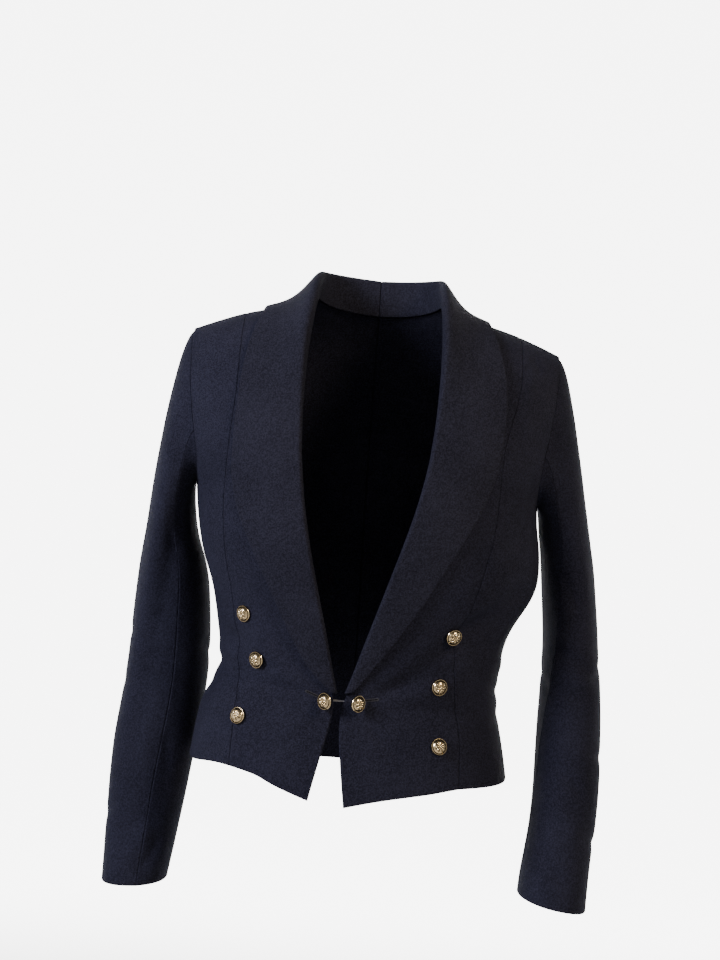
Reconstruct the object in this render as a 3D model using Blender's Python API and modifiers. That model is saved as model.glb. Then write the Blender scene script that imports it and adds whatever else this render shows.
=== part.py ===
"""Women's mess jacket with a shawl collar, worn and hollow, in metres.

The front faces -Y and +Z is up. The origin is the point between the shoulders, at the base of
the neck, where the wearer holds the jacket up. Left and right are those seen from the front.
"""
import math
from collections import namedtuple

import bmesh
import bpy
import numpy as np
from mathutils import Matrix, Vector

# Driving sizes
CLOTH = 0.0018
COLLAR_CLOTH = 0.0024
SEAM_GAP = 0.0003
SLEEVE_GAP = 0.0005
LEFT, RIGHT = -1, 1

# Numbers of cells across and along the pieces, and steps taken to settle a place on the torso
FRONT_COLUMNS = 7
SIDE_COLUMNS = 6
BACK_COLUMNS = 8
NECK_STEPS = 5
BODY_ROWS = 14
ARMHOLE_STEPS = 10
CAP_ROWS = 6
ARM_ROWS = 16
COLLAR_BACK_STATIONS = 10
COLLAR_FALL_CELLS = 5
SETTLE_STEPS = 12
FINE_STEPS = 400

# Torso sections, each a rounded loop: how far it reaches to each side of the origin
Section = namedtuple("Section", "height left right front back middle")
TORSO = (
    Section(-0.525, 0.170, 0.178, 0.130, 0.112, 0.000),
    Section(-0.500, 0.167, 0.175, 0.127, 0.108, 0.000),
    Section(-0.467, 0.163, 0.169, 0.120, 0.098, 0.000),
    Section(-0.430, 0.157, 0.160, 0.113, 0.086, 0.000),
    Section(-0.395, 0.140, 0.157, 0.111, 0.078, 0.000),
    Section(-0.370, 0.143, 0.159, 0.113, 0.076, 0.000),
    Section(-0.342, 0.149, 0.164, 0.118, 0.077, 0.000),
    Section(-0.315, 0.154, 0.181, 0.124, 0.081, 0.000),
    Section(-0.290, 0.164, 0.193, 0.129, 0.087, 0.000),
    Section(-0.260, 0.173, 0.193, 0.133, 0.094, 0.000),
    Section(-0.230, 0.178, 0.187, 0.134, 0.100, 0.000),
    Section(-0.205, 0.181, 0.185, 0.133, 0.104, 0.000),
    Section(-0.160, 0.197, 0.198, 0.129, 0.106, 0.001),
    Section(-0.120, 0.207, 0.207, 0.124, 0.104, 0.003),
    Section(-0.080, 0.212, 0.212, 0.120, 0.102, 0.004),
    Section(-0.040, 0.215, 0.215, 0.118, 0.100, 0.004),
    Section(0.030, 0.218, 0.218, 0.116, 0.098, 0.004),
)
SQUARENESS = 2.25

# The shoulder line, seen from the front
Shoulder = namedtuple("Shoulder", "sideways height")
SHOULDER_LINE = (
    Shoulder(0.000, 0.016),
    Shoulder(0.025, 0.015),
    Shoulder(0.068, 0.005),
    Shoulder(0.100, -0.0075),
    Shoulder(0.120, -0.0135),
    Shoulder(0.143, -0.0195),
    Shoulder(0.170, -0.0290),
    Shoulder(0.198, -0.0400),
    Shoulder(0.218, -0.0480),
)
FRONT_SLOPE = 0.140
BACK_SLOPE = 0.120
SLOPE_SHARE = 0.34
SHOULDER_REACH = 0.215
HEM_REACH = 0.172

# The hem, seen from the front, and its heights at the side seams and the centre back
HemPoint = namedtuple("HemPoint", "sideways height")
FRONT_HEM = (
    HemPoint(-0.167, -0.4950),
    HemPoint(-0.138, -0.4900),
    HemPoint(-0.093, -0.4950),
    HemPoint(-0.076, -0.5020),
    HemPoint(-0.036, -0.5145),
    HemPoint(-0.010, -0.5230),
    HemPoint(0.002, -0.5190),
    HemPoint(0.042, -0.5090),
    HemPoint(0.090, -0.5010),
    HemPoint(0.122, -0.4960),
    HemPoint(0.172, -0.4960),
)
BACK_HEM_SIDE = -0.4955
BACK_HEM_CENTRE = -0.5060

# Front edges and princess seams, seen from the front, and the fold and edge of the collar
Edge = namedtuple("Edge", "height left right")
FRONT_EDGE = (
    Edge(-0.520, -0.0352, 0.0022),
    Edge(-0.500, -0.0312, -0.0012),
    Edge(-0.450, -0.0200, -0.0080),
    Edge(-0.428, -0.0152, -0.0105),
    Edge(-0.414, -0.0138, -0.0060),
    Edge(-0.405, -0.0160, -0.0022),
    Edge(-0.385, -0.0222, 0.0054),
    Edge(-0.350, -0.0316, 0.0162),
    Edge(-0.310, -0.0427, 0.0287),
    Edge(-0.260, -0.0557, 0.0437),
    Edge(-0.210, -0.0657, 0.0577),
    Edge(-0.160, -0.0720, 0.0667),
    Edge(-0.110, -0.0745, 0.0707),
    Edge(-0.060, -0.0745, 0.0717),
    Edge(-0.020, -0.0720, 0.0710),
    Edge(0.015, -0.0700, 0.0700),
)
PRINCESS = (
    Edge(-0.520, -0.118, 0.119),
    Edge(-0.480, -0.118, 0.118),
    Edge(-0.440, -0.117, 0.115),
    Edge(-0.400, -0.117, 0.107),
    Edge(-0.360, -0.121, 0.104),
    Edge(-0.327, -0.127, 0.111),
    Edge(-0.273, -0.139, 0.127),
    Edge(-0.220, -0.145, 0.136),
    Edge(-0.150, -0.143, 0.138),
    Edge(-0.110, -0.140, 0.147),
    Edge(-0.070, -0.141, 0.154),
    Edge(-0.020, -0.142, 0.153),
)
BACK_PRINCESS = (
    Edge(-0.520, -0.082, 0.090),
    Edge(-0.400, -0.066, 0.074),
    Edge(-0.300, -0.083, 0.089),
    Edge(-0.200, -0.105, 0.108),
    Edge(-0.100, -0.132, 0.136),
    Edge(-0.020, -0.142, 0.153),
)
BACK_CENTRE = (
    Edge(-0.520, 0.004, 0.004),
    Edge(-0.400, 0.004, 0.004),
    Edge(-0.200, 0.001, 0.001),
    Edge(0.030, 0.000, 0.000),
)

# The collar's outer edge on the fronts, from the closing point up to the shoulder
COLLAR_EDGE = (
    Edge(-0.406, -0.0175, 0.0015),
    Edge(-0.397, -0.0290, 0.0085),
    Edge(-0.385, -0.0430, 0.0170),
    Edge(-0.350, -0.0640, 0.0410),
    Edge(-0.310, -0.0850, 0.0660),
    Edge(-0.260, -0.1120, 0.0930),
    Edge(-0.215, -0.1315, 0.1165),
    Edge(-0.180, -0.1365, 0.1285),
    Edge(-0.140, -0.1370, 0.1350),
    Edge(-0.100, -0.1355, 0.1370),
    Edge(-0.060, -0.1320, 0.1315),
    Edge(-0.018, -0.1200, 0.1170),
)
COLLAR_START = -0.4055
NECK_SIDE = 0.0705
NECK_DROP = 0.40
COLLAR_BACK_DROP = 0.60
COLLAR_TAPER = 0.05
STAND_HEIGHT = 0.021
BACK_STAND_EXTRA = 0.013
STAND_LEAN = 0.22
STAND_GAP = 0.0006
STAND_GROWS = (-0.120, 0.000)
NECK_AXIS = 0.030
LAPEL_LIE = 0.0007
BACK_LIE = 0.0010
FALL_CURVE = 4.5
FOLD_BEND_FLAT = 0.0002
FOLD_BEND = 0.0016
FOLD_TURN_FLAT = 90
FOLD_TURN = 40

# Armholes: share of the quarter turn between the side and the edge, and its scoop
ARMHOLE_HALF_TURN = math.radians(25)
ARMHOLE_FOOT = -0.205
ARMHOLE_SCOOP = -0.140
ARMHOLE_CROWDING = 1.6

# Sleeves: rings down the arm. The turn slides the seams round the arm.
Ring = namedtuple("Ring", "height sideways forward half_width half_depth turn")
LEFT_ARM = (
    Ring(-0.235, -0.2065, 0.015, 0.0250, 0.0570, 0),
    Ring(-0.260, -0.2065, 0.025, 0.0280, 0.0570, 0),
    Ring(-0.300, -0.2020, 0.034, 0.0385, 0.0530, -2),
    Ring(-0.345, -0.2010, 0.040, 0.0425, 0.0505, -4),
    Ring(-0.380, -0.2005, 0.043, 0.0445, 0.0485, -5),
    Ring(-0.415, -0.2015, 0.047, 0.0455, 0.0475, -5),
    Ring(-0.450, -0.2050, 0.050, 0.0460, 0.0460, -5),
    Ring(-0.490, -0.2095, 0.051, 0.0460, 0.0440, -6),
    Ring(-0.540, -0.2130, 0.047, 0.0435, 0.0430, -8),
    Ring(-0.580, -0.2150, 0.040, 0.0405, 0.0430, -8),
    Ring(-0.641, -0.2185, 0.030, 0.0355, 0.0440, -8),
)
RIGHT_ARM = (
    Ring(-0.235, 0.2190, 0.016, 0.0275, 0.0570, 0),
    Ring(-0.260, 0.2250, 0.026, 0.0285, 0.0570, 5),
    Ring(-0.300, 0.2305, 0.032, 0.0295, 0.0570, 12),
    Ring(-0.345, 0.2355, 0.029, 0.0300, 0.0560, 21),
    Ring(-0.380, 0.2375, 0.024, 0.0320, 0.0550, 29),
    Ring(-0.415, 0.2390, 0.016, 0.0340, 0.0530, 38),
    Ring(-0.450, 0.2390, 0.007, 0.0350, 0.0510, 47),
    Ring(-0.490, 0.2390, -0.004, 0.0355, 0.0490, 56),
    Ring(-0.540, 0.2365, -0.016, 0.0355, 0.0480, 66),
    Ring(-0.580, 0.2315, -0.026, 0.0365, 0.0460, 74),
    Ring(-0.617, 0.2290, -0.035, 0.0370, 0.0450, 80),
)
CUFF_SLANT = {LEFT: 0.003, RIGHT: 0.006}
SLEEVE_SQUARENESS = 2.15
ARM_ROUND = 0.28
CROWN_FOOT = 0.004
CROWN_RISE = 0.007
CROWN_OUT = 0.002
CROWN_FALL = 0.26
CROWN_CROWDING = 1.25
FRONT_SEAM_STEP = 6
BACK_SEAM_STEP = 14

# Large folds of the torso, as soft ridges (+) and troughs (-) seen from the front or the back
Fold = namedtuple("Fold", "face x0 z0 x1 z1 width lift")
TORSO_FOLDS = (
    Fold("front", 0.172, -0.308, 0.055, -0.372, 0.017, -0.0034),
    Fold("front", 0.165, -0.265, 0.085, -0.318, 0.017, 0.0026),
    Fold("front", 0.150, -0.415, 0.040, -0.418, 0.016, -0.0022),
    Fold("front", -0.155, -0.385, -0.060, -0.412, 0.016, -0.0034),
    Fold("front", -0.145, -0.345, -0.060, -0.388, 0.016, 0.0024),
    Fold("front", -0.170, -0.215, -0.145, -0.300, 0.015, 0.0026),
    Fold("front", 0.175, -0.150, 0.160, -0.225, 0.015, 0.0026),
    Fold("back", -0.140, -0.385, -0.020, -0.402, 0.016, -0.0030),
    Fold("back", 0.145, -0.395, 0.030, -0.408, 0.016, -0.0030),
    Fold("back", -0.160, -0.110, -0.140, -0.220, 0.016, 0.0032),
    Fold("back", 0.160, -0.110, 0.140, -0.220, 0.016, 0.0032),
)
# Large folds of the sleeves: where round the arm, in degrees from its outer side
ArmFold = namedtuple("ArmFold", "side turn0 z0 turn1 z1 width lift")
ARM_FOLDS = (
    ArmFold(LEFT, 40, -0.560, 120, -0.625, 0.012, -0.0035),
    ArmFold(LEFT, 110, -0.385, 60, -0.410, 0.012, -0.0028),
    ArmFold(LEFT, 60, -0.270, 100, -0.330, 0.013, 0.0024),
    ArmFold(LEFT, 250, -0.390, 300, -0.420, 0.012, -0.0028),
    ArmFold(RIGHT, 130, -0.370, 60, -0.420, 0.013, -0.0030),
    ArmFold(RIGHT, 30, -0.330, 100, -0.280, 0.013, 0.0024),
    ArmFold(RIGHT, 100, -0.500, 40, -0.560, 0.013, -0.0028),
    ArmFold(RIGHT, 250, -0.390, 300, -0.430, 0.012, -0.0028),
)

# Buttons: domes with a raised rim
GOLD_RADIUS = 0.0088
GOLD_HEIGHT = 0.0056
GOLD_STEPS = 14
CUFF_RADIUS = 0.0072
CUFF_HEIGHT = 0.0034
CUFF_STEPS = 12
BUTTON_SEAT = 0.0005
Spot = namedtuple("Spot", "sideways height")
FRONT_BUTTONS = {
    LEFT: (Spot(-0.114, -0.335), Spot(-0.097, -0.381), Spot(-0.112, -0.440)),
    RIGHT: (Spot(0.100, -0.341), Spot(0.090, -0.394), Spot(0.094, -0.454)),
}
LINK_BUTTONS = {LEFT: Spot(-0.0240, -0.4145), RIGHT: Spot(0.0085, -0.4145)}
LINK_TURN = math.radians(42)
LINK_STAND_OFF = 0.0068
LINK_CORD_RADIUS = 0.0010
BUTTONHOLE_LENGTH = 0.0060
BUTTONHOLE_HEIGHT = 0.0034
LINK_SHANK = 0.0022
LINK_INSIDE = 0.0052
LINK_SPREAD = 0.001
CORD_CELLS = 3
CUFF_BUTTONS_UP = (0.084, 0.061, 0.037)


def table_curve(rows, across, value):
    """Smooth curve through one column of a table, against another, for arrays."""
    xs = np.array([getattr(row, across) for row in rows], float)
    ys = np.array([getattr(row, value) for row in rows], float)
    order = np.argsort(xs)
    xs, ys = xs[order], ys[order]
    steps = np.diff(ys) / np.diff(xs)
    slopes = np.empty_like(ys)
    slopes[0], slopes[-1] = steps[0], steps[-1]
    before, after = steps[:-1], steps[1:]
    same_way = before * after > 0
    total = np.where(same_way, before + after, 1)
    slopes[1:-1] = np.where(same_way, 2 * before * after / total, 0)

    def curve(x):
        x = np.clip(np.asarray(x, float), xs[0], xs[-1])
        i = np.clip(np.searchsorted(xs, x) - 1, 0, len(xs) - 2)
        span = xs[i + 1] - xs[i]
        t = (x - xs[i]) / span
        rise = (1 + 2 * t) * (1 - t) ** 2 * ys[i] + t * t * (3 - 2 * t) * ys[i + 1]
        return rise + t * (1 - t) * span * ((1 - t) * slopes[i] - t * slopes[i + 1])

    return curve


reach_left = table_curve(TORSO, "height", "left")
reach_right = table_curve(TORSO, "height", "right")
reach_front = table_curve(TORSO, "height", "front")
reach_back = table_curve(TORSO, "height", "back")
middle = table_curve(TORSO, "height", "middle")
shoulder_height = table_curve(SHOULDER_LINE, "sideways", "height")
front_hem = table_curve(FRONT_HEM, "sideways", "height")


def signed_power(value, power):
    return np.sign(value) * np.abs(value) ** power


def unit(vectors):
    return vectors / np.maximum(np.linalg.norm(vectors, axis=-1, keepdims=True), 1e-12)


def fold_lift(a, b, a0, b0, a1, b1, width):
    """Height, from 0 to 1, of a soft fold that runs from one point to another."""
    run = np.array((a1 - a0, b1 - b0))
    length = np.linalg.norm(run)
    along = ((a - a0) * run[0] + (b - b0) * run[1]) / length ** 2
    off = np.hypot(a - a0 - np.clip(along, 0, 1) * run[0], b - b0 - np.clip(along, 0, 1) * run[1])
    return np.exp(-(off / width) ** 2) * np.clip(1.15 - np.abs(2 * along - 1) ** 3, 0, 1)


def torso_frame(turn, down):
    """Where a point lies: turn is 0 at the centre front and pi at the back, down 0 to 1."""
    sideways = signed_power(np.sin(turn), 2 / SQUARENESS)
    depthways = signed_power(np.cos(turn), 2 / SQUARENESS)
    is_front = np.cos(turn) >= 0
    slope = (FRONT_SLOPE + BACK_SLOPE) / 2 + (FRONT_SLOPE - BACK_SLOPE) / 2 * depthways
    angle = np.clip(down / SLOPE_SHARE, 0, 1) * math.pi / 2
    top = shoulder_height(np.abs(sideways) * SHOULDER_REACH)
    knee = top - slope
    front_low = front_hem(sideways * HEM_REACH)
    back_low = BACK_HEM_CENTRE + (BACK_HEM_SIDE - BACK_HEM_CENTRE) * np.abs(sideways) ** 2
    low = np.where(is_front, front_low, back_low)
    share = np.clip((down - SLOPE_SHARE) / (1 - SLOPE_SHARE), 0, 1)
    height = np.where(down < SLOPE_SHARE, top - slope * (1 - np.cos(angle)), knee + (low - knee) * share)
    return sideways, depthways, height, np.sin(angle)


def torso_plain(turn, down):
    """Point of the torso's outer surface before its folds."""
    sideways, depthways, height, arch = torso_frame(turn, down)
    reach = np.where(sideways < 0, reach_left(height), reach_right(height))
    depth = np.where(depthways >= 0, reach_front(height), reach_back(height))
    return np.stack((reach * sideways, middle(height) - depth * depthways * arch, height), axis=-1)


def surface_normal(surface, turn, down):
    step = 1e-3
    across = surface(turn + step, down) - surface(turn - step, down)
    along = surface(turn, down + step) - surface(turn, np.maximum(down - step, 1e-5))
    return unit(np.cross(along, across))


def torso(turn, down):
    """Point of the torso's outer surface, with its large folds."""
    turn, down = np.broadcast_arrays(np.asarray(turn, float), np.asarray(down, float))
    place = torso_plain(turn, down)
    outward = surface_normal(torso_plain, turn, down)
    lift = np.zeros(turn.shape)
    for fold in TORSO_FOLDS:
        facing = np.clip(-outward[..., 1] if fold.face == "front" else outward[..., 1], 0, 1)
        spot = fold_lift(place[..., 0], place[..., 2], fold.x0, fold.z0, fold.x1, fold.z1, fold.width)
        lift += fold.lift * spot * facing
    return place + outward * lift[..., None]


def turn_at(curve, down, is_front):
    """Turn at which a seam, given by its sideways place at each height, crosses each row."""
    down = np.asarray(down, float)
    turn = np.full(down.shape, 0.0 if is_front else math.pi)
    for _ in range(SETTLE_STEPS):
        height = torso_frame(turn, down)[2]
        place = curve(height)
        reach = np.where(place < 0, reach_left(height), reach_right(height))
        share = np.clip(np.abs(place) / reach, 0, 1) ** (SQUARENESS / 2)
        turn = np.arcsin(share) * np.where(place < 0, -1, 1)
        turn = turn if is_front else np.where(place < 0, -math.pi, math.pi) - turn
    return turn


def down_at(height, turn):
    """Row at which a line round the torso at one turn reaches a height."""
    rows = np.linspace(0, 1, FINE_STEPS)
    heights = torso_frame(np.full(rows.shape, turn), rows)[2]
    return float(np.interp(-height, -heights, rows))


FOOT_DOWN = down_at(ARMHOLE_FOOT, math.pi / 2)
SCOOP_DOWN = down_at(ARMHOLE_SCOOP, math.pi / 2 - ARMHOLE_HALF_TURN)


def armhole_turn(down):
    """Quarter turn left between the side and the armhole's edge, at each row."""
    share = np.clip((np.asarray(down, float) - SCOOP_DOWN) / (FOOT_DOWN - SCOOP_DOWN), 0, 1)
    return ARMHOLE_HALF_TURN * np.sqrt(1 - share ** 2)


def armhole_rows():
    """Rows of the panels, spaced evenly along the armhole and then down to the hem."""
    fine = FOOT_DOWN * (1 - (1 - np.linspace(0, 1, FINE_STEPS)) ** ARMHOLE_CROWDING)
    edge = torso(math.pi / 2 - armhole_turn(fine), fine)
    lengths = np.concatenate(([0], np.cumsum(np.linalg.norm(np.diff(edge, axis=0), axis=1))))
    above = np.interp(np.linspace(0, lengths[-1], ARMHOLE_STEPS + 1), lengths, fine)
    above[0], above[-1] = 0, FOOT_DOWN
    return above, np.linspace(FOOT_DOWN, 1, BODY_ROWS + 1)[1:]


ARMHOLE_DOWN, BODY_DOWN = armhole_rows()
ROWS = np.concatenate((ARMHOLE_DOWN, BODY_DOWN))


def closed_wall(name, outer, inner, material):
    """Closed cloth wall from a grid of outer points and a grid of inner points."""
    rows, columns = outer.shape[:2]
    bm = bmesh.new()
    cell = bm.verts.layers.int.new("cell")
    bmesh.ops.create_grid(bm, x_segments=columns - 1, y_segments=rows - 1, size=0.5)
    for vert in bm.verts:
        column = round((vert.co.x + 0.5) * (columns - 1))
        row = round((vert.co.y + 0.5) * (rows - 1))
        vert[cell] = row * columns + column
        vert.co = outer[row, column]
    raised = bmesh.ops.extrude_face_region(bm, geom=list(bm.faces))["geom"]
    for vert in raised:
        if isinstance(vert, bmesh.types.BMVert):
            vert.co = inner[divmod(vert[cell], columns)]
    bmesh.ops.recalc_face_normals(bm, faces=bm.faces)
    return finish_mesh(name, bm, material)


def finish_mesh(name, bm, material, place=None):
    mesh = bpy.data.meshes.new(name)
    bm.to_mesh(mesh)
    bm.free()
    mesh.shade_smooth()
    mesh.set_sharp_from_angle(angle=math.radians(50))
    mesh.materials.append(material)
    piece = bpy.data.objects.new(name, mesh)
    if place is not None:
        piece.matrix_world = place
    jacket.objects.link(piece)
    return piece


def trim(grid, gap=SEAM_GAP):
    """Bring the four edges of a grid in by half a seam gap."""
    grid = grid.copy()
    half = gap / 2
    for edge, inside in ((0, 1), (-1, -2)):
        grid[edge] += unit(grid[inside] - grid[edge]) * half
        grid[:, edge] += unit(grid[:, inside] - grid[:, edge]) * half
    return grid


def panel(name, turn, down, material):
    """Cloth panel on the torso from a grid of turns and rows."""
    place = torso(turn, down)
    inner = place - surface_normal(torso, turn, down) * CLOTH
    return closed_wall(name, trim(place), trim(inner), material)


def side_name(side):
    return "left" if side == LEFT else "right"


def seam_turns(table, side, is_front, rows=None):
    return turn_at(table_curve(table, "height", side_name(side)), ROWS if rows is None else rows, is_front)


def side_turns(side, is_front):
    """Armhole edge above its foot and the side seam below it."""
    back_off = np.where(ROWS < FOOT_DOWN, armhole_turn(ROWS), 0)
    return side * (math.pi / 2 - back_off if is_front else math.pi / 2 + back_off)


def between(inner_edge, outer_edge, columns):
    """Grid of turns and rows between two seams."""
    turn = inner_edge[:, None] + (outer_edge - inner_edge)[:, None] * np.linspace(0, 1, columns + 1)
    return turn, np.broadcast_to(ROWS[:, None], turn.shape)


def neck_turn(side, is_front):
    return turn_at(lambda height: np.full(np.shape(height), side * NECK_SIDE), np.zeros(1), is_front)[0]


def back_neckline(side, steps):
    """Turns and rows of the back neckline, from the shoulder seam to the centre back."""
    swing = np.linspace(0, math.pi / 2, steps + 1)
    centre = side * math.pi + float(seam_turns(BACK_CENTRE, RIGHT, False, np.zeros(1))[0]) - math.pi
    turns = centre + (neck_turn(side, False) - centre) * np.cos(swing)
    return turns, NECK_DROP * SLOPE_SHARE * np.sin(swing)


def centre_back_grid(side, princess):
    """Grid of the centre back panel, whose top follows the neckline and the shoulder seam."""
    neck_turns, neck_downs = back_neckline(side, NECK_STEPS)
    rest = np.linspace(0, 1, BACK_COLUMNS - NECK_STEPS + 1)[1:]
    top_turns = np.concatenate((neck_turns[::-1], neck_turns[0] + (princess[0] - neck_turns[0]) * rest))
    top_downs = np.concatenate((neck_downs[::-1], np.zeros(len(rest))))
    down = top_downs + (1 - top_downs) * ROWS[:, None]
    centre = side * math.pi + seam_turns(BACK_CENTRE, RIGHT, False, down[:, 0]) - math.pi
    top_share = (top_turns - top_turns[0]) / (top_turns[-1] - top_turns[0])
    even = np.linspace(0, 1, BACK_COLUMNS + 1)
    share = even + (top_share - even) * (1 - ROWS[:, None]) ** 2
    return centre[:, None] + (princess - centre)[:, None] * share, down


def build_body():
    cloth = cloth_material("body_cloth", (0.028, 0.030, 0.048))
    for side in (LEFT, RIGHT):
        word = side_name(side)
        edge = seam_turns(FRONT_EDGE, side, True)
        princess = seam_turns(PRINCESS, side, True)
        back_princess = seam_turns(BACK_PRINCESS, side, False)
        centre = panel(f"front_centre_{word}", *between(edge, princess, FRONT_COLUMNS), cloth)
        cut_buttonhole(centre, side)
        outer = between(princess, side_turns(side, True), SIDE_COLUMNS)
        fronts.extend((centre, panel(f"front_side_{word}", *outer, cloth)))
        panel(f"back_side_{word}", *between(back_princess, side_turns(side, False), SIDE_COLUMNS), cloth)
        panel(f"back_centre_{word}", *centre_back_grid(side, back_princess), cloth)


def front_point(sideways, height):
    """Point of the front, with its outward direction, at a place seen from the front."""
    down = np.array([down_at(height, 0)])
    for _ in range(SETTLE_STEPS):
        turn = turn_at(lambda z: np.full(np.shape(z), sideways), down, True)
        down = np.array([down_at(height, float(turn[0]))])
    return torso(turn, down)[0], surface_normal(torso, turn, down)[0]


def cut_buttonhole(front, side):
    """Hole that the link's cord passes through, under its button."""
    spot = LINK_BUTTONS[side]
    centre, _ = front_point(spot.sideways, spot.height)
    bm = bmesh.new()
    bmesh.ops.create_cube(bm, size=1)
    bmesh.ops.scale(bm, vec=(BUTTONHOLE_LENGTH, 8 * CLOTH, BUTTONHOLE_HEIGHT), verts=bm.verts)
    mesh = bpy.data.meshes.new(f"buttonhole_cutter_{side_name(side)}")
    bm.to_mesh(mesh)
    bm.free()
    cutter = bpy.data.objects.new(mesh.name, mesh)
    cutter.location = centre
    cutter.hide_render = True
    cutter.display_type = "WIRE"
    cutters.objects.link(cutter)
    hole = front.modifiers.new("buttonhole", "BOOLEAN")
    hole.operation = "DIFFERENCE"
    hole.solver = "EXACT"
    hole.object = cutter


def armhole_loop(side):
    """Edge of the armhole, from the shoulder down the front and up the back, its way out of the
    panels and the panels' outward direction there."""
    edges, ways, outwards = [], [], []
    for face in (-1, 1):
        turn = side * (math.pi / 2 + face * armhole_turn(ARMHOLE_DOWN))
        edge = torso(turn, ARMHOLE_DOWN)
        inside = torso(turn + face * side * 0.02, ARMHOLE_DOWN)
        edges.append(edge)
        ways.append(unit(edge - inside))
        outwards.append(surface_normal(torso, turn, ARMHOLE_DOWN))
    edge, way, outward = (np.concatenate((one[0], one[1][-2:0:-1])) for one in (edges, ways, outwards))
    up = np.array((0.0, 0.0, 1.0))
    foot = ARMHOLE_STEPS
    way[foot] = up
    for near in (foot - 1, foot + 1):
        way[near] = unit(way[near] + up)
    way[0] = unit(way[0] * (1, 0, 1))
    return edge + way * SEAM_GAP / 2, way, outward


def arm_point(side, turn, height):
    """Point of the sleeve's outer surface. Turn is 0 on the outer side and 90 at the front."""
    rings = LEFT_ARM if side == LEFT else RIGHT_ARM
    ring = {name: table_curve(rings, "height", name)(height) for name in Ring._fields[1:]}
    angle = np.radians(turn + ring["turn"])
    out = signed_power(np.cos(angle), 2 / SLEEVE_SQUARENESS)
    ahead = signed_power(np.sin(angle), 2 / SLEEVE_SQUARENESS)
    way_round = (np.degrees(angle) % 360) * ARM_ROUND / 360
    lift = 0
    for fold in ARM_FOLDS:
        if fold.side == side:
            start, finish = fold.turn0 * ARM_ROUND / 360, fold.turn1 * ARM_ROUND / 360
            spot = fold_lift(way_round, height, start, fold.z0, finish, fold.z1, fold.width)
            lift = lift + fold.lift * spot
    x = ring["sideways"] + side * (ring["half_width"] + lift) * out
    y = ring["forward"] - (ring["half_depth"] + lift) * ahead
    return np.stack(np.broadcast_arrays(x, y, height), axis=-1)


def sleeve_grid(side):
    """Rings of the sleeve from the armhole to the cuff, outer and inner points."""
    steps = 2 * ARMHOLE_STEPS
    turns = np.arange(steps) * 360 / steps
    edge, way, panel_outward = armhole_loop(side)
    rings = LEFT_ARM if side == LEFT else RIGHT_ARM
    top_height, cuff_height = rings[0].height, rings[-1].height
    upper_arm = arm_point(side, turns, np.full(steps, top_height))
    crown = (0.5 + 0.5 * np.cos(np.radians(turns)))[:, None]
    outward = np.array((side, 0, 0))
    start = edge + way * (CROWN_FOOT + CROWN_RISE * crown) + outward * (CROWN_FOOT + CROWN_OUT * crown)
    up_arm = unit(upper_arm - arm_point(side, turns, np.full(steps, top_height - 0.01)))
    finish = upper_arm + CROWN_FALL * np.linalg.norm(upper_arm - edge, axis=1)[:, None] * up_arm
    t = (np.linspace(0, 1, CAP_ROWS + 1) ** CROWN_CROWDING)[:, None, None]
    cap = (1 - t) ** 3 * edge + 3 * t * (1 - t) ** 2 * start
    cap = cap + 3 * t ** 2 * (1 - t) * finish + t ** 3 * upper_arm
    slant = CUFF_SLANT[side] * np.cos(np.radians(turns + rings[-1].turn))
    share = np.linspace(0, 1, ARM_ROWS + 1)[1:, None]
    heights = top_height + (cuff_height - top_height - slant) * share
    outer = np.concatenate((cap, arm_point(side, turns, heights)))
    around = np.roll(outer, -1, axis=1) - np.roll(outer, 1, axis=1)
    along = np.gradient(outer, axis=0)
    inward = unit(np.cross(along, around)) * side
    inward[0] = -panel_outward
    return outer, outer + inward * CLOTH


def build_sleeves():
    cloth = cloth_material("sleeve_cloth", (0.026, 0.028, 0.045))
    for side in (LEFT, RIGHT):
        outer, inner = sleeve_grid(side)
        steps = outer.shape[1]
        top = [step % steps for step in range(BACK_SEAM_STEP, steps + FRONT_SEAM_STEP + 1)]
        under = list(range(FRONT_SEAM_STEP, BACK_SEAM_STEP + 1))
        for piece, columns in (("top", top), ("under", under)):
            name = f"sleeve_{piece}_{side_name(side)}"
            outer_wall = trim(outer[:, columns], SLEEVE_GAP)
            closed_wall(name, outer_wall, trim(inner[:, columns], SLEEVE_GAP), cloth)


def ease(value, start, finish):
    """Smooth step from 0 at the start to 1 at the finish."""
    share = np.clip((value - start) / (finish - start), 0, 1)
    return share * share * (3 - 2 * share)


def collar_lines(side):
    """Stations up the front and round the back: neck seam points and the collar's edge."""
    start = down_at(COLLAR_START, 0)
    front_rows = np.concatenate(([start], ROWS[ROWS < start - 0.01][::-1]))
    neck_front = turn_at(table_curve(FRONT_EDGE, "height", side_name(side)), front_rows, True)
    edge_front = turn_at(table_curve(COLLAR_EDGE, "height", side_name(side)), front_rows, True)
    neck_back, neck_back_rows = back_neckline(side, NECK_STEPS)
    stops = np.arange(NECK_STEPS + 1)
    fine = np.linspace(0, NECK_STEPS, COLLAR_BACK_STATIONS + 1)[1:]
    corners = torso(neck_back, neck_back_rows)
    seam_back = np.stack([np.interp(fine, stops, corners[:, axis]) for axis in range(3)], axis=-1)
    seam = np.concatenate((torso(neck_front, front_rows), seam_back))
    swing = fine / NECK_STEPS * math.pi / 2
    centre = neck_back[-1]
    edge_side = side * math.pi - edge_front[-1]
    edge_back = centre + (edge_side - centre) * np.cos(swing)
    turns = (
        np.concatenate((neck_front, centre + (neck_back[0] - centre) * np.cos(swing))),
        np.concatenate((edge_front, edge_back)),
    )
    downs = (
        np.concatenate((front_rows, NECK_DROP * SLOPE_SHARE * np.sin(swing))),
        np.concatenate((front_rows, COLLAR_BACK_DROP * SLOPE_SHARE * np.sin(swing))),
    )
    return seam, turns, downs


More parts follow.
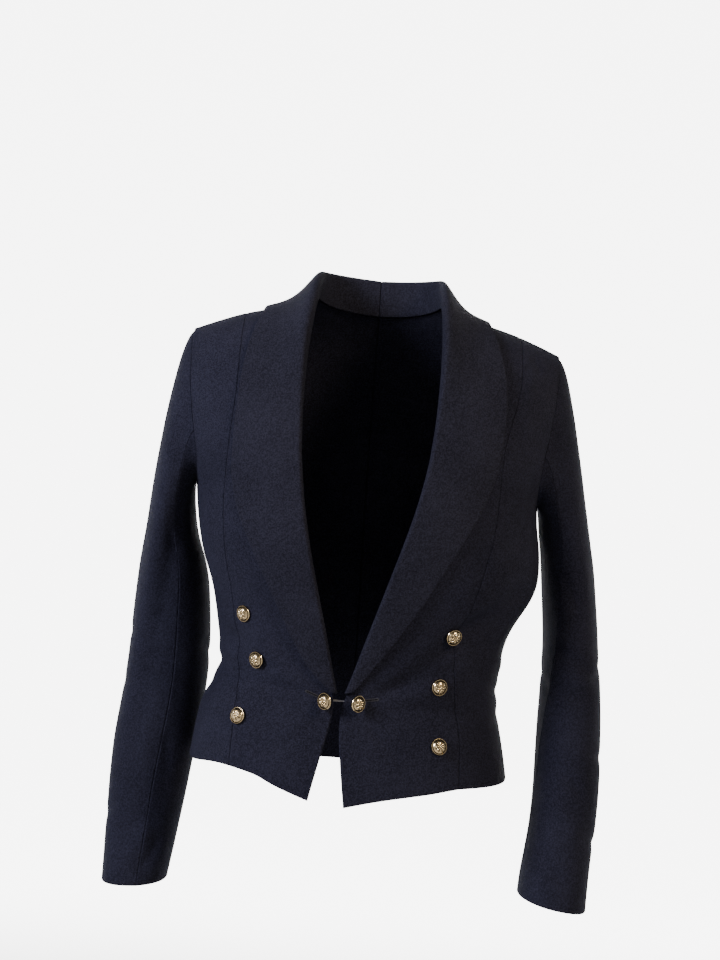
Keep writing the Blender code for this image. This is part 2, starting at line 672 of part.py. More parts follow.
def collar_grid(side):
    """Collar from its foot at the neck seam, over the fold, to its edge, a row for each station."""
    seam, (turn0, turn1), (down0, down1) = collar_lines(side)
    share = np.linspace(0, 1, COLLAR_FALL_CELLS + 1)
    turn = turn0[:, None] + (turn1 - turn0)[:, None] * share
    down = down0[:, None] + (down1 - down0)[:, None] * share
    base = torso(turn, down)
    outward = surface_normal(torso, turn, down)
    run = np.concatenate(([0], np.cumsum(np.linalg.norm(np.diff(seam, axis=0), axis=1))))[:, None]
    cloth = COLLAR_CLOTH * (0.5 + 0.5 * ease(run, 0, COLLAR_TAPER))
    grown = ease(seam[:, 2:3], *STAND_GROWS)
    grown[seam[:, 1] > 0] = 1
    axis = np.array((0.0, NECK_AXIS, 0.0))
    neckward = unit((axis - seam) * (1, 1, 0))
    back_share = np.clip(seam[:, 1:2] / (NECK_AXIS * 2), 0, 1)
    upright = unit(np.array((0, 0, 1)) + neckward * (STAND_LEAN * (1 - back_share)))
    up = unit((1 - grown) * outward[:, 0] + grown * upright)
    away = base[:, 1] - base[:, 0]
    away = unit(away - up * np.sum(away * up, axis=1, keepdims=True))
    height = (STAND_HEIGHT + BACK_STAND_EXTRA * back_share) * grown
    inner_bend = FOLD_BEND_FLAT + FOLD_BEND * grown
    centre = seam + up * (height + SEAM_GAP - FOLD_BEND_FLAT) + away * (inner_bend - STAND_GAP)
    bends = np.radians(180 - np.linspace(0, 1, 4) * (FOLD_TURN_FLAT + FOLD_TURN * grown))
    outer, inner = [], []
    for rise in (0, 0.5):
        foot = seam - outward[:, 0] * CLOTH * (1 - rise) + up * height * rise - away * STAND_GAP
        inner.append(foot)
        outer.append(foot - away * cloth)
    for bend in bends.T:
        way = away * np.cos(bend)[:, None] + up * np.sin(bend)[:, None]
        inner.append(centre + way * inner_bend)
        outer.append(centre + way * (inner_bend + cloth))
    lie = SEAM_GAP + (LAPEL_LIE + BACK_LIE * grown) * np.minimum(1, 4 * share * (1.2 - share))
    over = base + outward * (lie + cloth)[..., None]
    fade = (1 - share)[None, :, None] ** FALL_CURVE
    fall = over + (outer[-1] - over[:, 0])[:, None, :] * fade
    under = base + outward * lie[..., None]
    beneath = under + (inner[-1] - under[:, 0])[:, None, :] * fade
    outer = np.concatenate((np.stack(outer, axis=1), fall[:, 1:]), axis=1)
    inner = np.concatenate((np.stack(inner, axis=1), beneath[:, 1:]), axis=1)
    return outer, inner


def build_collar():
    cloth = cloth_material("collar_cloth", (0.030, 0.032, 0.050))
    for side in (LEFT, RIGHT):
        outer, inner = collar_grid(side)
        closed_wall(f"shawl_collar_{side_name(side)}", trim(outer), trim(inner), cloth)


def turned(name, profile, steps, material, place):
    """Round piece turned from a profile of radius and height, top to bottom."""
    bm = bmesh.new()
    points = [bm.verts.new((radius, 0, height)) for radius, height in profile]
    for upper, lower in zip(points, points[1:]):
        bm.edges.new((upper, lower))
    piece = finish_mesh(name, bm, material, place)
    spin = piece.modifiers.new("turn", "SCREW")
    spin.steps = spin.render_steps = steps
    spin.use_merge_vertices = True
    spin.merge_threshold = 0.0001
    spin.use_smooth_shade = True
    return piece


def facing(point, outward, lift):
    """Place of a button: its back at the lift above the point, its face outward."""
    outward = Vector(outward)
    turn = outward.to_track_quat("Z", "Y").to_matrix().to_4x4()
    return Matrix.Translation(Vector(point) + outward * lift) @ turn


def dome_profile(radius, height):
    """Half section of a domed button with a raised rim, from its crown to its back."""
    rim = height * 0.34
    return (
        (0, height),
        (radius * 0.42, height * 0.93),
        (radius * 0.72, height * 0.66),
        (radius * 0.84, rim),
        (radius * 0.93, rim * 1.25),
        (radius, rim * 0.7),
        (radius * 0.90, 0),
        (0, 0),
    )


def flat_profile(radius, height):
    """Half section of a flat button with a raised rim."""
    return (
        (0, height * 0.7),
        (radius * 0.62, height * 0.7),
        (radius * 0.80, height),
        (radius, height * 0.6),
        (radius * 0.92, 0),
        (0, 0),
    )


def build_buttons():
    bpy.context.view_layer.update()
    gold = metal_material("button_metal", (0.80, 0.62, 0.28))
    dark = cloth_material("cuff_button_dark", (0.020, 0.020, 0.026))
    dome = dome_profile(GOLD_RADIUS, GOLD_HEIGHT)
    flat = flat_profile(CUFF_RADIUS, CUFF_HEIGHT)
    for side in (LEFT, RIGHT):
        word = side_name(side)
        for number, spot in enumerate(FRONT_BUTTONS[side], 1):
            turned(f"front_button_{word}_{number}", dome, GOLD_STEPS, gold, button_place(spot))
        turned(f"link_button_{word}", dome, GOLD_STEPS, gold, link_place(side))
        rings = LEFT_ARM if side == LEFT else RIGHT_ARM
        seam_turn = BACK_SEAM_STEP * 180 / ARMHOLE_STEPS
        for number, above in enumerate(CUFF_BUTTONS_UP, 1):
            height = rings[-1].height + above
            here, round_on, lower = (
                arm_point(side, np.array([seam_turn + turn]), np.array([height + drop]))[0]
                for turn, drop in ((0, 0), (2, 0), (0, -0.004))
            )
            outward = unit(np.cross(round_on - here, lower - here)) * side
            place = facing(here, outward, BUTTON_SEAT)
            turned(f"cuff_button_{word}_{number}", flat, CUFF_STEPS, dark, place)


def cloth_at(sideways, height):
    """Point where a line from the front first meets the cloth of the fronts."""
    start, way = Vector((sideways, -0.4, height)), Vector((0, 1, 0))
    hits = [front.ray_cast(start, way) for front in fronts]
    return min((hit[1] for hit in hits if hit[0]), key=lambda place: place.y)


def button_place(spot):
    """Place of a front button: flat on the highest cloth under its rim."""
    centre = cloth_at(*spot)
    swings = [step * math.pi / 6 for step in range(12)]
    rim = [
        cloth_at(spot.sideways + GOLD_RADIUS * math.cos(swing), spot.height + GOLD_RADIUS * math.sin(swing))
        for swing in swings
    ]
    outward = (rim[0] - rim[6]).cross(rim[3] - rim[9]).normalized()
    lift = max((place - centre).dot(outward) for place in rim + [centre])
    return facing(centre, outward, lift + BUTTON_SEAT)


def link_place(side):
    """Place of a link button, drawn sideways by the cord."""
    spot = LINK_BUTTONS[side]
    point, _ = front_point(spot.sideways, spot.height)
    outward = (side * math.sin(LINK_TURN), -math.cos(LINK_TURN), 0)
    return facing(Vector(point) + Vector((0, -LINK_STAND_OFF, 0)), outward, 0)


def build_link_cord():
    """Cord from one link button, in through its hole, across behind the edges and out again."""
    cord_cloth = cloth_material("link_cord_dark", (0.018, 0.018, 0.024))
    places = {side: link_place(side) for side in (LEFT, RIGHT)}
    stops = []
    for side in (LEFT, RIGHT):
        back = places[side] @ Vector((0, 0, -SEAM_GAP))
        neck = places[side] @ Vector((0, 0, -LINK_SHANK))
        hole, _ = front_point(LINK_BUTTONS[side].sideways, LINK_BUTTONS[side].height)
        hole = Vector(hole)
        inside = hole + Vector((-side * LINK_SPREAD, LINK_INSIDE, 0))
        run = [back, neck, hole + Vector((0, CLOTH / 2, 0)), inside]
        stops += run if side == LEFT else run[::-1]
    curve = bpy.data.curves.new("link_cord", "CURVE")
    curve.dimensions = "3D"
    curve.bevel_depth = LINK_CORD_RADIUS
    curve.bevel_resolution = 1
    curve.use_fill_caps = True
    route = smooth_route(stops, CORD_CELLS)
    spline = curve.splines.new("POLY")
    spline.points.add(len(route) - 1)
    for point, place in zip(spline.points, route):
        point.co = (*place, 1)
    curve.materials.append(cord_cloth)
    jacket.objects.link(bpy.data.objects.new("link_cord", curve))


def smooth_route(stops, cells):
    """Smooth curve through the stops, with so many cells between each two."""
    route = []
    for i in range(len(stops) - 1):
        before, after = stops[max(i - 1, 0)], stops[min(i + 2, len(stops) - 1)]
        for j in range(cells):
            t = j / cells
            route.append(
                0.5 * (2 * stops[i] + (stops[i + 1] - before) * t
                       + (2 * before - 5 * stops[i] + 4 * stops[i + 1] - after) * t ** 2
                       + (3 * stops[i] - before - 3 * stops[i + 1] + after) * t ** 3)
            )
    route.append(stops[-1])
    return route


def cloth_material(name, colour):
    return make_material(name, colour, 0.9, 0.0)


def metal_material(name, colour):
    return make_material(name, colour, 0.28, 1.0)


def make_material(name, colour, roughness, metallic):
    material = bpy.data.materials.new(name)
    material.use_nodes = True
    shader = material.node_tree.nodes["Principled BSDF"]
    shader.inputs["Base Color"].default_value = (*colour, 1)
    shader.inputs["Roughness"].default_value = roughness
    shader.inputs["Metallic"].default_value = metallic
    return material


def new_collection(name):
    collection = bpy.data.collections.new(name)
    bpy.context.scene.collection.children.link(collection)
    return collection


for old in list(bpy.data.objects):
    bpy.data.objects.remove(old, do_unlink=True)
jacket = new_collection("mess_jacket")
cutters = new_collection("mess_jacket_cutters")
fronts = []
build_body()
build_sleeves()
build_collar()
build_buttons()
build_link_cord()
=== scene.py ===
# %% [markdown]
# # A mess jacket, step by step
# This lesson dresses the plain solids of a waist-length mess jacket in real cloth, buttons and
# thread. The jacket is shown as if worn, with nobody in it: a hollow form that keeps its shape.
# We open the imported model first. Its nodes are already in place, so every new piece is cut
# from a node or is put where a node says.

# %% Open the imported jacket
import math

import bmesh
import bpy
import numpy as np
from mathutils import Matrix, Vector
from mathutils.bvhtree import BVHTree
from mathutils.kdtree import KDTree


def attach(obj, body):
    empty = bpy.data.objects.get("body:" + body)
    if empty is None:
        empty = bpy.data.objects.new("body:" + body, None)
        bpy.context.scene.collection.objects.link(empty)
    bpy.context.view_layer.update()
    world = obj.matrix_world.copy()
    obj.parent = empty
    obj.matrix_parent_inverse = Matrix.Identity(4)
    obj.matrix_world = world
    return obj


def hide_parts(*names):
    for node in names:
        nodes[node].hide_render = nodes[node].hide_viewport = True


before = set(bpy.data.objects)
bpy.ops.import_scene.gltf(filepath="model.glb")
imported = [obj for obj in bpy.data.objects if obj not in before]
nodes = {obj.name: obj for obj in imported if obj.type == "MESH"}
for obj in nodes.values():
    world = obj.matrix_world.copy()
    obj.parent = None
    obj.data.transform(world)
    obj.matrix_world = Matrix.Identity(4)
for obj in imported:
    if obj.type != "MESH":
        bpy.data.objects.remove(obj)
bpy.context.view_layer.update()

# %% [markdown]
# ## The camera
# The picture was taken from the front at chest height, with the camera rolled a little. A lens
# of 66 mm on a 36 mm frame gives the same small spread of perspective. We write the camera's
# three axes out, so that the roll is plain to see.

# %% Camera
ROLL = math.radians(4.5)
LENS = 66.26
SENSOR = 36
VIEWPOINT = (-0.00668, -1.9, -0.18928)

camera_data = bpy.data.cameras.new("camera")
camera_data.lens = LENS
camera_data.sensor_width = camera_data.sensor_height = SENSOR
camera = bpy.data.objects.new("camera", camera_data)
bpy.context.scene.collection.objects.link(camera)
right_way = Vector((math.cos(ROLL), 0, math.sin(ROLL)))
up_way = Vector((-math.sin(ROLL), 0, math.cos(ROLL)))
turn = Matrix((right_way, up_way, Vector((0, -1, 0)))).transposed()
camera.matrix_world = Matrix.Translation(VIEWPOINT) @ turn.to_4x4()
bpy.context.scene.camera = camera
print("camera at", [round(v, 3) for v in camera.location])

# %% [markdown]
# ## Shader sums as plain expressions
# A finish is a sum of small patterns. Wiring Math nodes by hand hides the sum, so one small class
# wraps a socket and lets us write `1 - mask * 0.3`. Each operator adds the Math node it needs.
# Any other node comes from `Board.node`, which takes its type, its settings and its inputs.

# %% A board for shader nodes
class Value:
    """A number in a shader: an output socket that can be added, taken away and multiplied."""

    def __init__(self, board, socket):
        self.board, self.socket = board, socket

    def sum(self, operation, first, second):
        return self.board.node("ShaderNodeMath", {"operation": operation}, {0: first, 1: second})

    def __add__(self, other):
        return self.sum("ADD", self, other)

    def __sub__(self, other):
        return self.sum("SUBTRACT", self, other)

    def __rsub__(self, other):
        return self.sum("SUBTRACT", other, self)

    def __mul__(self, other):
        return self.sum("MULTIPLY", self, other)

    def __pow__(self, other):
        return self.sum("POWER", self, other)

    __radd__, __rmul__ = __add__, __mul__


class Board:
    """The nodes of one material."""

    def __init__(self, name):
        self.material = bpy.data.materials.new(name)
        self.material.use_nodes = True
        self.tree = self.material.node_tree
        self.shader = self.tree.nodes["Principled BSDF"]

    def node(self, kind, settings=None, inputs=None, output=0):
        new = self.tree.nodes.new(kind)
        for setting, value in (settings or {}).items():
            setattr(new, setting, value)
        for name, value in (inputs or {}).items():
            self.plug(new.inputs[name], value)
        return Value(self, new.outputs[output])

    def plug(self, socket, value):
        if isinstance(value, Value):
            self.tree.links.new(value.socket, socket)
        else:
            socket.default_value = value

    def finish(self, **sockets):
        for name, value in sockets.items():
            self.plug(self.shader.inputs[name.replace("_", " ")], value)
        return self.material

    def mix(self, factor, first, second):
        """One colour turning into another. Sockets 6, 7 and 2 are the Mix node's colours."""
        inputs = {0: factor, 6: first, 7: second}
        return self.node("ShaderNodeMix", {"data_type": "RGBA"}, inputs, 2)

    def places(self):
        """Object coordinates, which are metres in the jacket's own frame."""
        return self.node("ShaderNodeTexCoord", output=3)

    def stretched(self, scale, turned=(0, 0, 0)):
        """Object coordinates, scaled and turned."""
        inputs = {"Vector": self.places(), "Scale": scale, "Rotation": turned}
        return self.node("ShaderNodeMapping", {}, inputs)

    def noise(self, scale, detail=2.0, vector=None):
        inputs = {"Vector": vector or self.places(), "Scale": scale, "Detail": detail}
        return self.node("ShaderNodeTexNoise", {}, inputs)

    def ramp(self, value, start, finish):
        """0 below start, 1 above finish, with a soft step between them."""
        inputs = {"Value": value, "From Min": start, "From Max": finish}
        return self.node("ShaderNodeMapRange", {"interpolation_type": "SMOOTHSTEP"}, inputs)

    def attribute(self, name):
        return self.node("ShaderNodeAttribute", {"attribute_name": name}, output=2)

    def bump(self, height, distance, strength=1.0, normal=None):
        inputs = {"Height": height, "Distance": distance, "Strength": strength}
        if normal:
            inputs["Normal"] = normal
        return self.node("ShaderNodeBump", {}, inputs)


print("shader board ready")

# %% [markdown]
# ## A plain floor and soft light
# A studio uses a pale floor that curves up behind the object, so no line shows where they meet.
# A disc stands in for it, with its rim drawn up in rings. It is wide, so a camera on
# any side stays inside it. Its paper glows a little, brightest behind the jacket and dimmer on
# the room's side, so gilt has something dark to mirror. The main light is a cool soft panel at
# the viewer's left. A weaker warm one stands higher up at the right, as a room lamp would.

# %% Floor
FLOOR_HEIGHT = -1.45
FLOOR_REACH = 3.6
GLOW = 6.1
GLOW_STARTS, GLOW_FULL = 1.3, 3.3  # metres behind the jacket
FLOOR_BEND = ((0.0, 0.0), (0.45, 0.08), (0.85, 0.32), (1.10, 0.75), (1.20, 1.40), (1.22, 3.4))

floor_board = Board("studio_floor")
depth = floor_board.node("ShaderNodeSeparateXYZ", {}, {0: floor_board.places()}, 1)
behind = floor_board.ramp(depth, GLOW_STARTS, GLOW_FULL)
glow = floor_board.mix(behind, (0.046, 0.039, 0.034, 1), (1.0, 1.0, 1.0, 1))
floor_board.shader.inputs["Emission Strength"].default_value = GLOW
floor_finish = floor_board.finish(
    Base_Color=(0.32, 0.32, 0.32, 1), Roughness=0.9, Emission_Color=glow
)
floor_finish.cycles.emission_sampling = "NONE"
bm = bmesh.new()
bmesh.ops.create_circle(bm, cap_ends=True, segments=96, radius=FLOOR_REACH)
rim = [edge for edge in bm.edges if edge.is_boundary]
for (out, up), (last_out, last_up) in zip(FLOOR_BEND[1:], FLOOR_BEND):
    grown = bmesh.ops.extrude_edge_only(bm, edges=rim)["geom"]
    rim = [item for item in grown if isinstance(item, bmesh.types.BMEdge)]
    corners = [item for item in grown if isinstance(item, bmesh.types.BMVert)]
    wider = (FLOOR_REACH + out) / (FLOOR_REACH + last_out)
    bmesh.ops.scale(bm, vec=(wider, wider, 1), verts=corners)
    bmesh.ops.translate(bm, vec=(0, 0, up - last_up), verts=corners)
bmesh.ops.translate(bm, vec=(0, 0, FLOOR_HEIGHT), verts=bm.verts)
bmesh.ops.recalc_face_normals(bm, faces=bm.faces)
floor_mesh = bpy.data.meshes.new("studio_floor")
bm.to_mesh(floor_mesh)
bm.free()
floor_mesh.shade_smooth()
floor_mesh.materials.append(floor_finish)
floor = bpy.data.objects.new("studio_floor", floor_mesh)
bpy.context.scene.collection.objects.link(floor)
print("floor faces:", len(floor_mesh.polygons))

# %% Light
sky = bpy.data.worlds.new("soft_sky")
sky.use_nodes = True
backdrop = sky.node_tree.nodes["Background"]
backdrop.inputs["Color"].default_value = (1.0, 0.92, 0.84, 1)
backdrop.inputs["Strength"].default_value = 0.15
bpy.context.scene.world = sky


def add_panel(name, place, aim, size, power, colour):
    """A square panel of light at a place, aimed at a point: size in metres, power in watts."""
    light = bpy.data.lights.new(name, "AREA")
    light.shape = "SQUARE"
    light.size = size
    light.energy = power
    light.color = colour
    panel = bpy.data.objects.new(name, light)
    panel.location = place
    panel.rotation_euler = (Vector(aim) - Vector(place)).to_track_quat("-Z", "Y").to_euler()
    bpy.context.scene.collection.objects.link(panel)


add_panel("window", (-2.25, -1.50, 0.95), (0, 0, -0.25), 1.0, 186, (0.90, 0.87, 1.0))
add_panel("lamp", (1.7, -1.7, 1.5), (0, 0, -0.20), 0.7, 84, (1.0, 0.80, 0.57))
print("lights:", len(bpy.data.lights))

# %% [markdown]
# ## Barathea, the cloth of the jacket
# Dress uniform is made of barathea, a dense matt wool with a fine pebbled face. Each pebble is
# about a millimetre across. We draw the pebbles as small cells on Object coordinates, squeezed
# a little so that they lie in short broken ribs. Thread by thread the dye takes unevenly, so
# a wider noise mottles the blue, and pressed edges wear a little paler. Along each seam the
# colour is darkened with painted shade, for the shade in the seam's groove, and along the
# collar's outer edge with a painted shadow of that edge on the cloth below. The pieces carry
# both as one attribute painted along their rims. The collar is cut from the same cloth, and its
# blue is made a shade lighter as painted light, so that the lapels read lighter than the fronts.

# %% Barathea
PEBBLE = 0.0011
PUCKER_DEPTH = 0.0009


def barathea(name, deep, light, pebble_depth):
    """Matt pebbled wool: two shades of one blue, pebbles, seams darkened with painted shade, and
    worn edges.
    """
    board = Board(name)
    ribs = board.stretched((1 / PEBBLE, 1 / PEBBLE, 1.35 / PEBBLE), (0, 0, 0.35))
    pebbles = board.node("ShaderNodeTexVoronoi", {"feature": "F1"}, {"Vector": ribs, "Scale": 1.0})
    fibres = board.noise(2600.0, 2.0)
    mottle = board.noise(640.0, 3.0)
    clouds = board.noise(14.0, 2.0)
    shade = board.ramp(mottle, 0.38, 0.62) * 0.46 + board.ramp(pebbles, 0.1, 0.75) * -0.30
    shade = shade + board.ramp(clouds, 0.3, 0.7) * 0.16 + fibres * 0.14 + 0.20
    seam_and_shade = board.attribute("seam_and_shade")
    edge = board.attribute("edge")
    worn = edge * board.ramp(mottle, 0.45, 0.65) * 0.35
    colour = board.mix(shade + worn, deep, light)
    # painted shade: near black is mixed in along the seams' grooves and the collar's outer edge
    colour = board.mix(seam_and_shade ** 3.0 * 0.6, colour, (0.004, 0.004, 0.007, 1))
    grain = board.bump(pebbles * -1.0 + fibres * 0.25, pebble_depth, 0.9)
    pucker = board.noise(95.0, 1.0, board.stretched((1, 1, 0.45)))
    surface = board.bump(pucker * (0.25 + seam_and_shade * 0.8) - seam_and_shade * 0.6, PUCKER_DEPTH, 0.6, grain)
    board.shader.inputs["Specular IOR Level"].default_value = 0.02
    board.shader.inputs["Sheen Weight"].default_value = 0.012
    board.shader.inputs["Sheen Roughness"].default_value = 0.55
    board.shader.inputs["Sheen Tint"].default_value = (0.62, 0.70, 1.0, 1)
    rough = 0.80 + board.ramp(mottle, 0.3, 0.7) * 0.12
    return board.finish(Base_Color=colour, Roughness=rough, Normal=surface)


SHADES = {
    # the deepest and the lightest blue of each cloth, and how deep its pebbles are
    "body": ((0.0042, 0.0045, 0.0078, 1), (0.0190, 0.0202, 0.0335, 1), 0.0006),
    # painted light: the collar's blues are a little lighter than the body's, so the lapels read
    # lighter
    "collar": ((0.0046, 0.0048, 0.0077, 1), (0.0206, 0.0217, 0.0338, 1), 0.0007),
    "sleeve": ((0.0042, 0.0045, 0.0078, 1), (0.0180, 0.0192, 0.0320, 1), 0.0006),
}
cloths = {part + "_cloth": barathea("barathea_" + part, *shades) for part, shades in SHADES.items()}
print("cloths:", sorted(cloths))

# %% [markdown]
# ## The pattern pieces
# A tailor cuts flat pieces and presses them to shape. Each row below is one of them: how wide and
# long its paper pattern is, the cloth's own area, and how it is held when worn. The
# collar is folded along its roll line and rests on the fronts and the back.

# %% Pattern pieces
CLOTH = 0.0018
COLLAR_CLOTH = 0.0024
PATTERN = {
    "front_centre_left": (0.112, 0.570, 0.0489, "hung"),
    "front_centre_right": (0.130, 0.578, 0.0524, "hung"),
    "front_side_left": (0.110, 0.524, 0.0392, "hung"),
    "front_side_right": (0.136, 0.538, 0.0467, "hung"),
    "back_side_left": (0.143, 0.526, 0.0525, "hung"),
    "back_side_right": (0.142, 0.530, 0.0530, "hung"),
    "back_centre_left": (0.156, 0.560, 0.0560, "hung"),
    "back_centre_right": (0.171, 0.560, 0.0571, "hung"),
    "shawl_collar_left": (0.118, 0.620, 0.0454, "folded"),
    "shawl_collar_right": (0.115, 0.620, 0.0436, "folded"),
    "sleeve_top_left": (0.190, 0.615, 0.0920, "hung"),
    "sleeve_top_right": (0.185, 0.600, 0.0867, "hung"),
    "sleeve_under_left": (0.125, 0.500, 0.0520, "hung"),
    "sleeve_under_right": (0.125, 0.485, 0.0492, "hung"),
}


def part_of(name):
    """Which part of the jacket a piece belongs to: its creases are listed by part."""
    if name.startswith("sleeve"):
        return "left sleeve" if name.endswith("left") else "right sleeve"
    return "body"


print("pieces of cloth:", len(PATTERN))

# %% [markdown]
# ## From a solid to a sheet
# The node of a piece is a closed wall. Its outer side is the largest patch of faces that joins
# without a sharp turn, so we grow patches over the soft edges and keep the largest one.
# Joining its triangles back into quads lets Subdivision Surface draw a smooth cloth through them.

# %% The outer side of a node
SHARP = math.radians(55)
QUAD_BEND = math.radians(60)  # two triangles join when they bend less than this
QUAD_SKEW = math.radians(80)  # and when the corners of the quad stay within this


def outer_side(node):
    """A bmesh of the outer side of a cloth node, in quads."""
    bm = bmesh.new()
    bm.from_mesh(node.data)
    bmesh.ops.remove_doubles(bm, verts=bm.verts, dist=1e-5)
    patches, found = [], set()
    for first in bm.faces:
        if first in found:
            continue
        patch, queue = [], [first]
        found.add(first)
        while queue:
            face = queue.pop()
            patch.append(face)
            for edge in face.edges:
                if len(edge.link_faces) == 2 and edge.calc_face_angle() < SHARP:
                    fresh = [side for side in edge.link_faces if side not in found]
                    found.update(fresh)
                    queue += fresh
        patches.append(patch)
    patches.sort(key=lambda patch: sum(face.calc_area() for face in patch))
    inner = [face for patch in patches[:-1] for face in patch]
    bmesh.ops.delete(bm, geom=inner, context="FACES")
    bmesh.ops.join_triangles(
        bm, faces=bm.faces[:], angle_face_threshold=QUAD_BEND,
        angle_shape_threshold=QUAD_SKEW, topology_influence=1.5,
    )
    return bm


def smooth_sheet(name, levels):
    """The outer side drawn smooth by Subdivision Surface, with its corners kept."""
    bm = outer_side(nodes[name])
    rough = bpy.data.meshes.new(name + "_rough")
    bm.to_mesh(rough)
    bm.free()
    stand_in = bpy.data.objects.new(name + "_rough", rough)
    bpy.context.scene.collection.objects.link(stand_in)
    smoother = stand_in.modifiers.new("smooth", "SUBSURF")
    smoother.levels = smoother.render_levels = levels
    smoother.boundary_smooth = "PRESERVE_CORNERS"
    bpy.context.view_layer.update()
    evaluated = stand_in.evaluated_get(bpy.context.evaluated_depsgraph_get())
    smooth = bpy.data.meshes.new_from_object(evaluated)
    bpy.data.objects.remove(stand_in)
    bpy.data.meshes.remove(rough)
    return smooth


LEVELS = 3
sheets = {name: smooth_sheet(name, LEVELS) for name in PATTERN}
print("faces in all:", sum(len(mesh.polygons) for mesh in sheets.values()))

# %% [markdown]
# ## Creases where the cloth turns
# Worn cloth drags towards its buttons, breaks at the inside of the elbow and dips at the waist.
# Each row is one soft trough or ridge: the part, the side it is seen from, where it starts and
# ends, its half width, its depth in millimetres (a ridge is positive), and how far its middle
# bows sideways. No two are alike, as on real cloth. The hidden back has its own. Near the seam
# where a sleeve is set in they fade out, because sleeve and body have different rows. The collar
# springs a little off the fronts, so its edge casts a line on them.

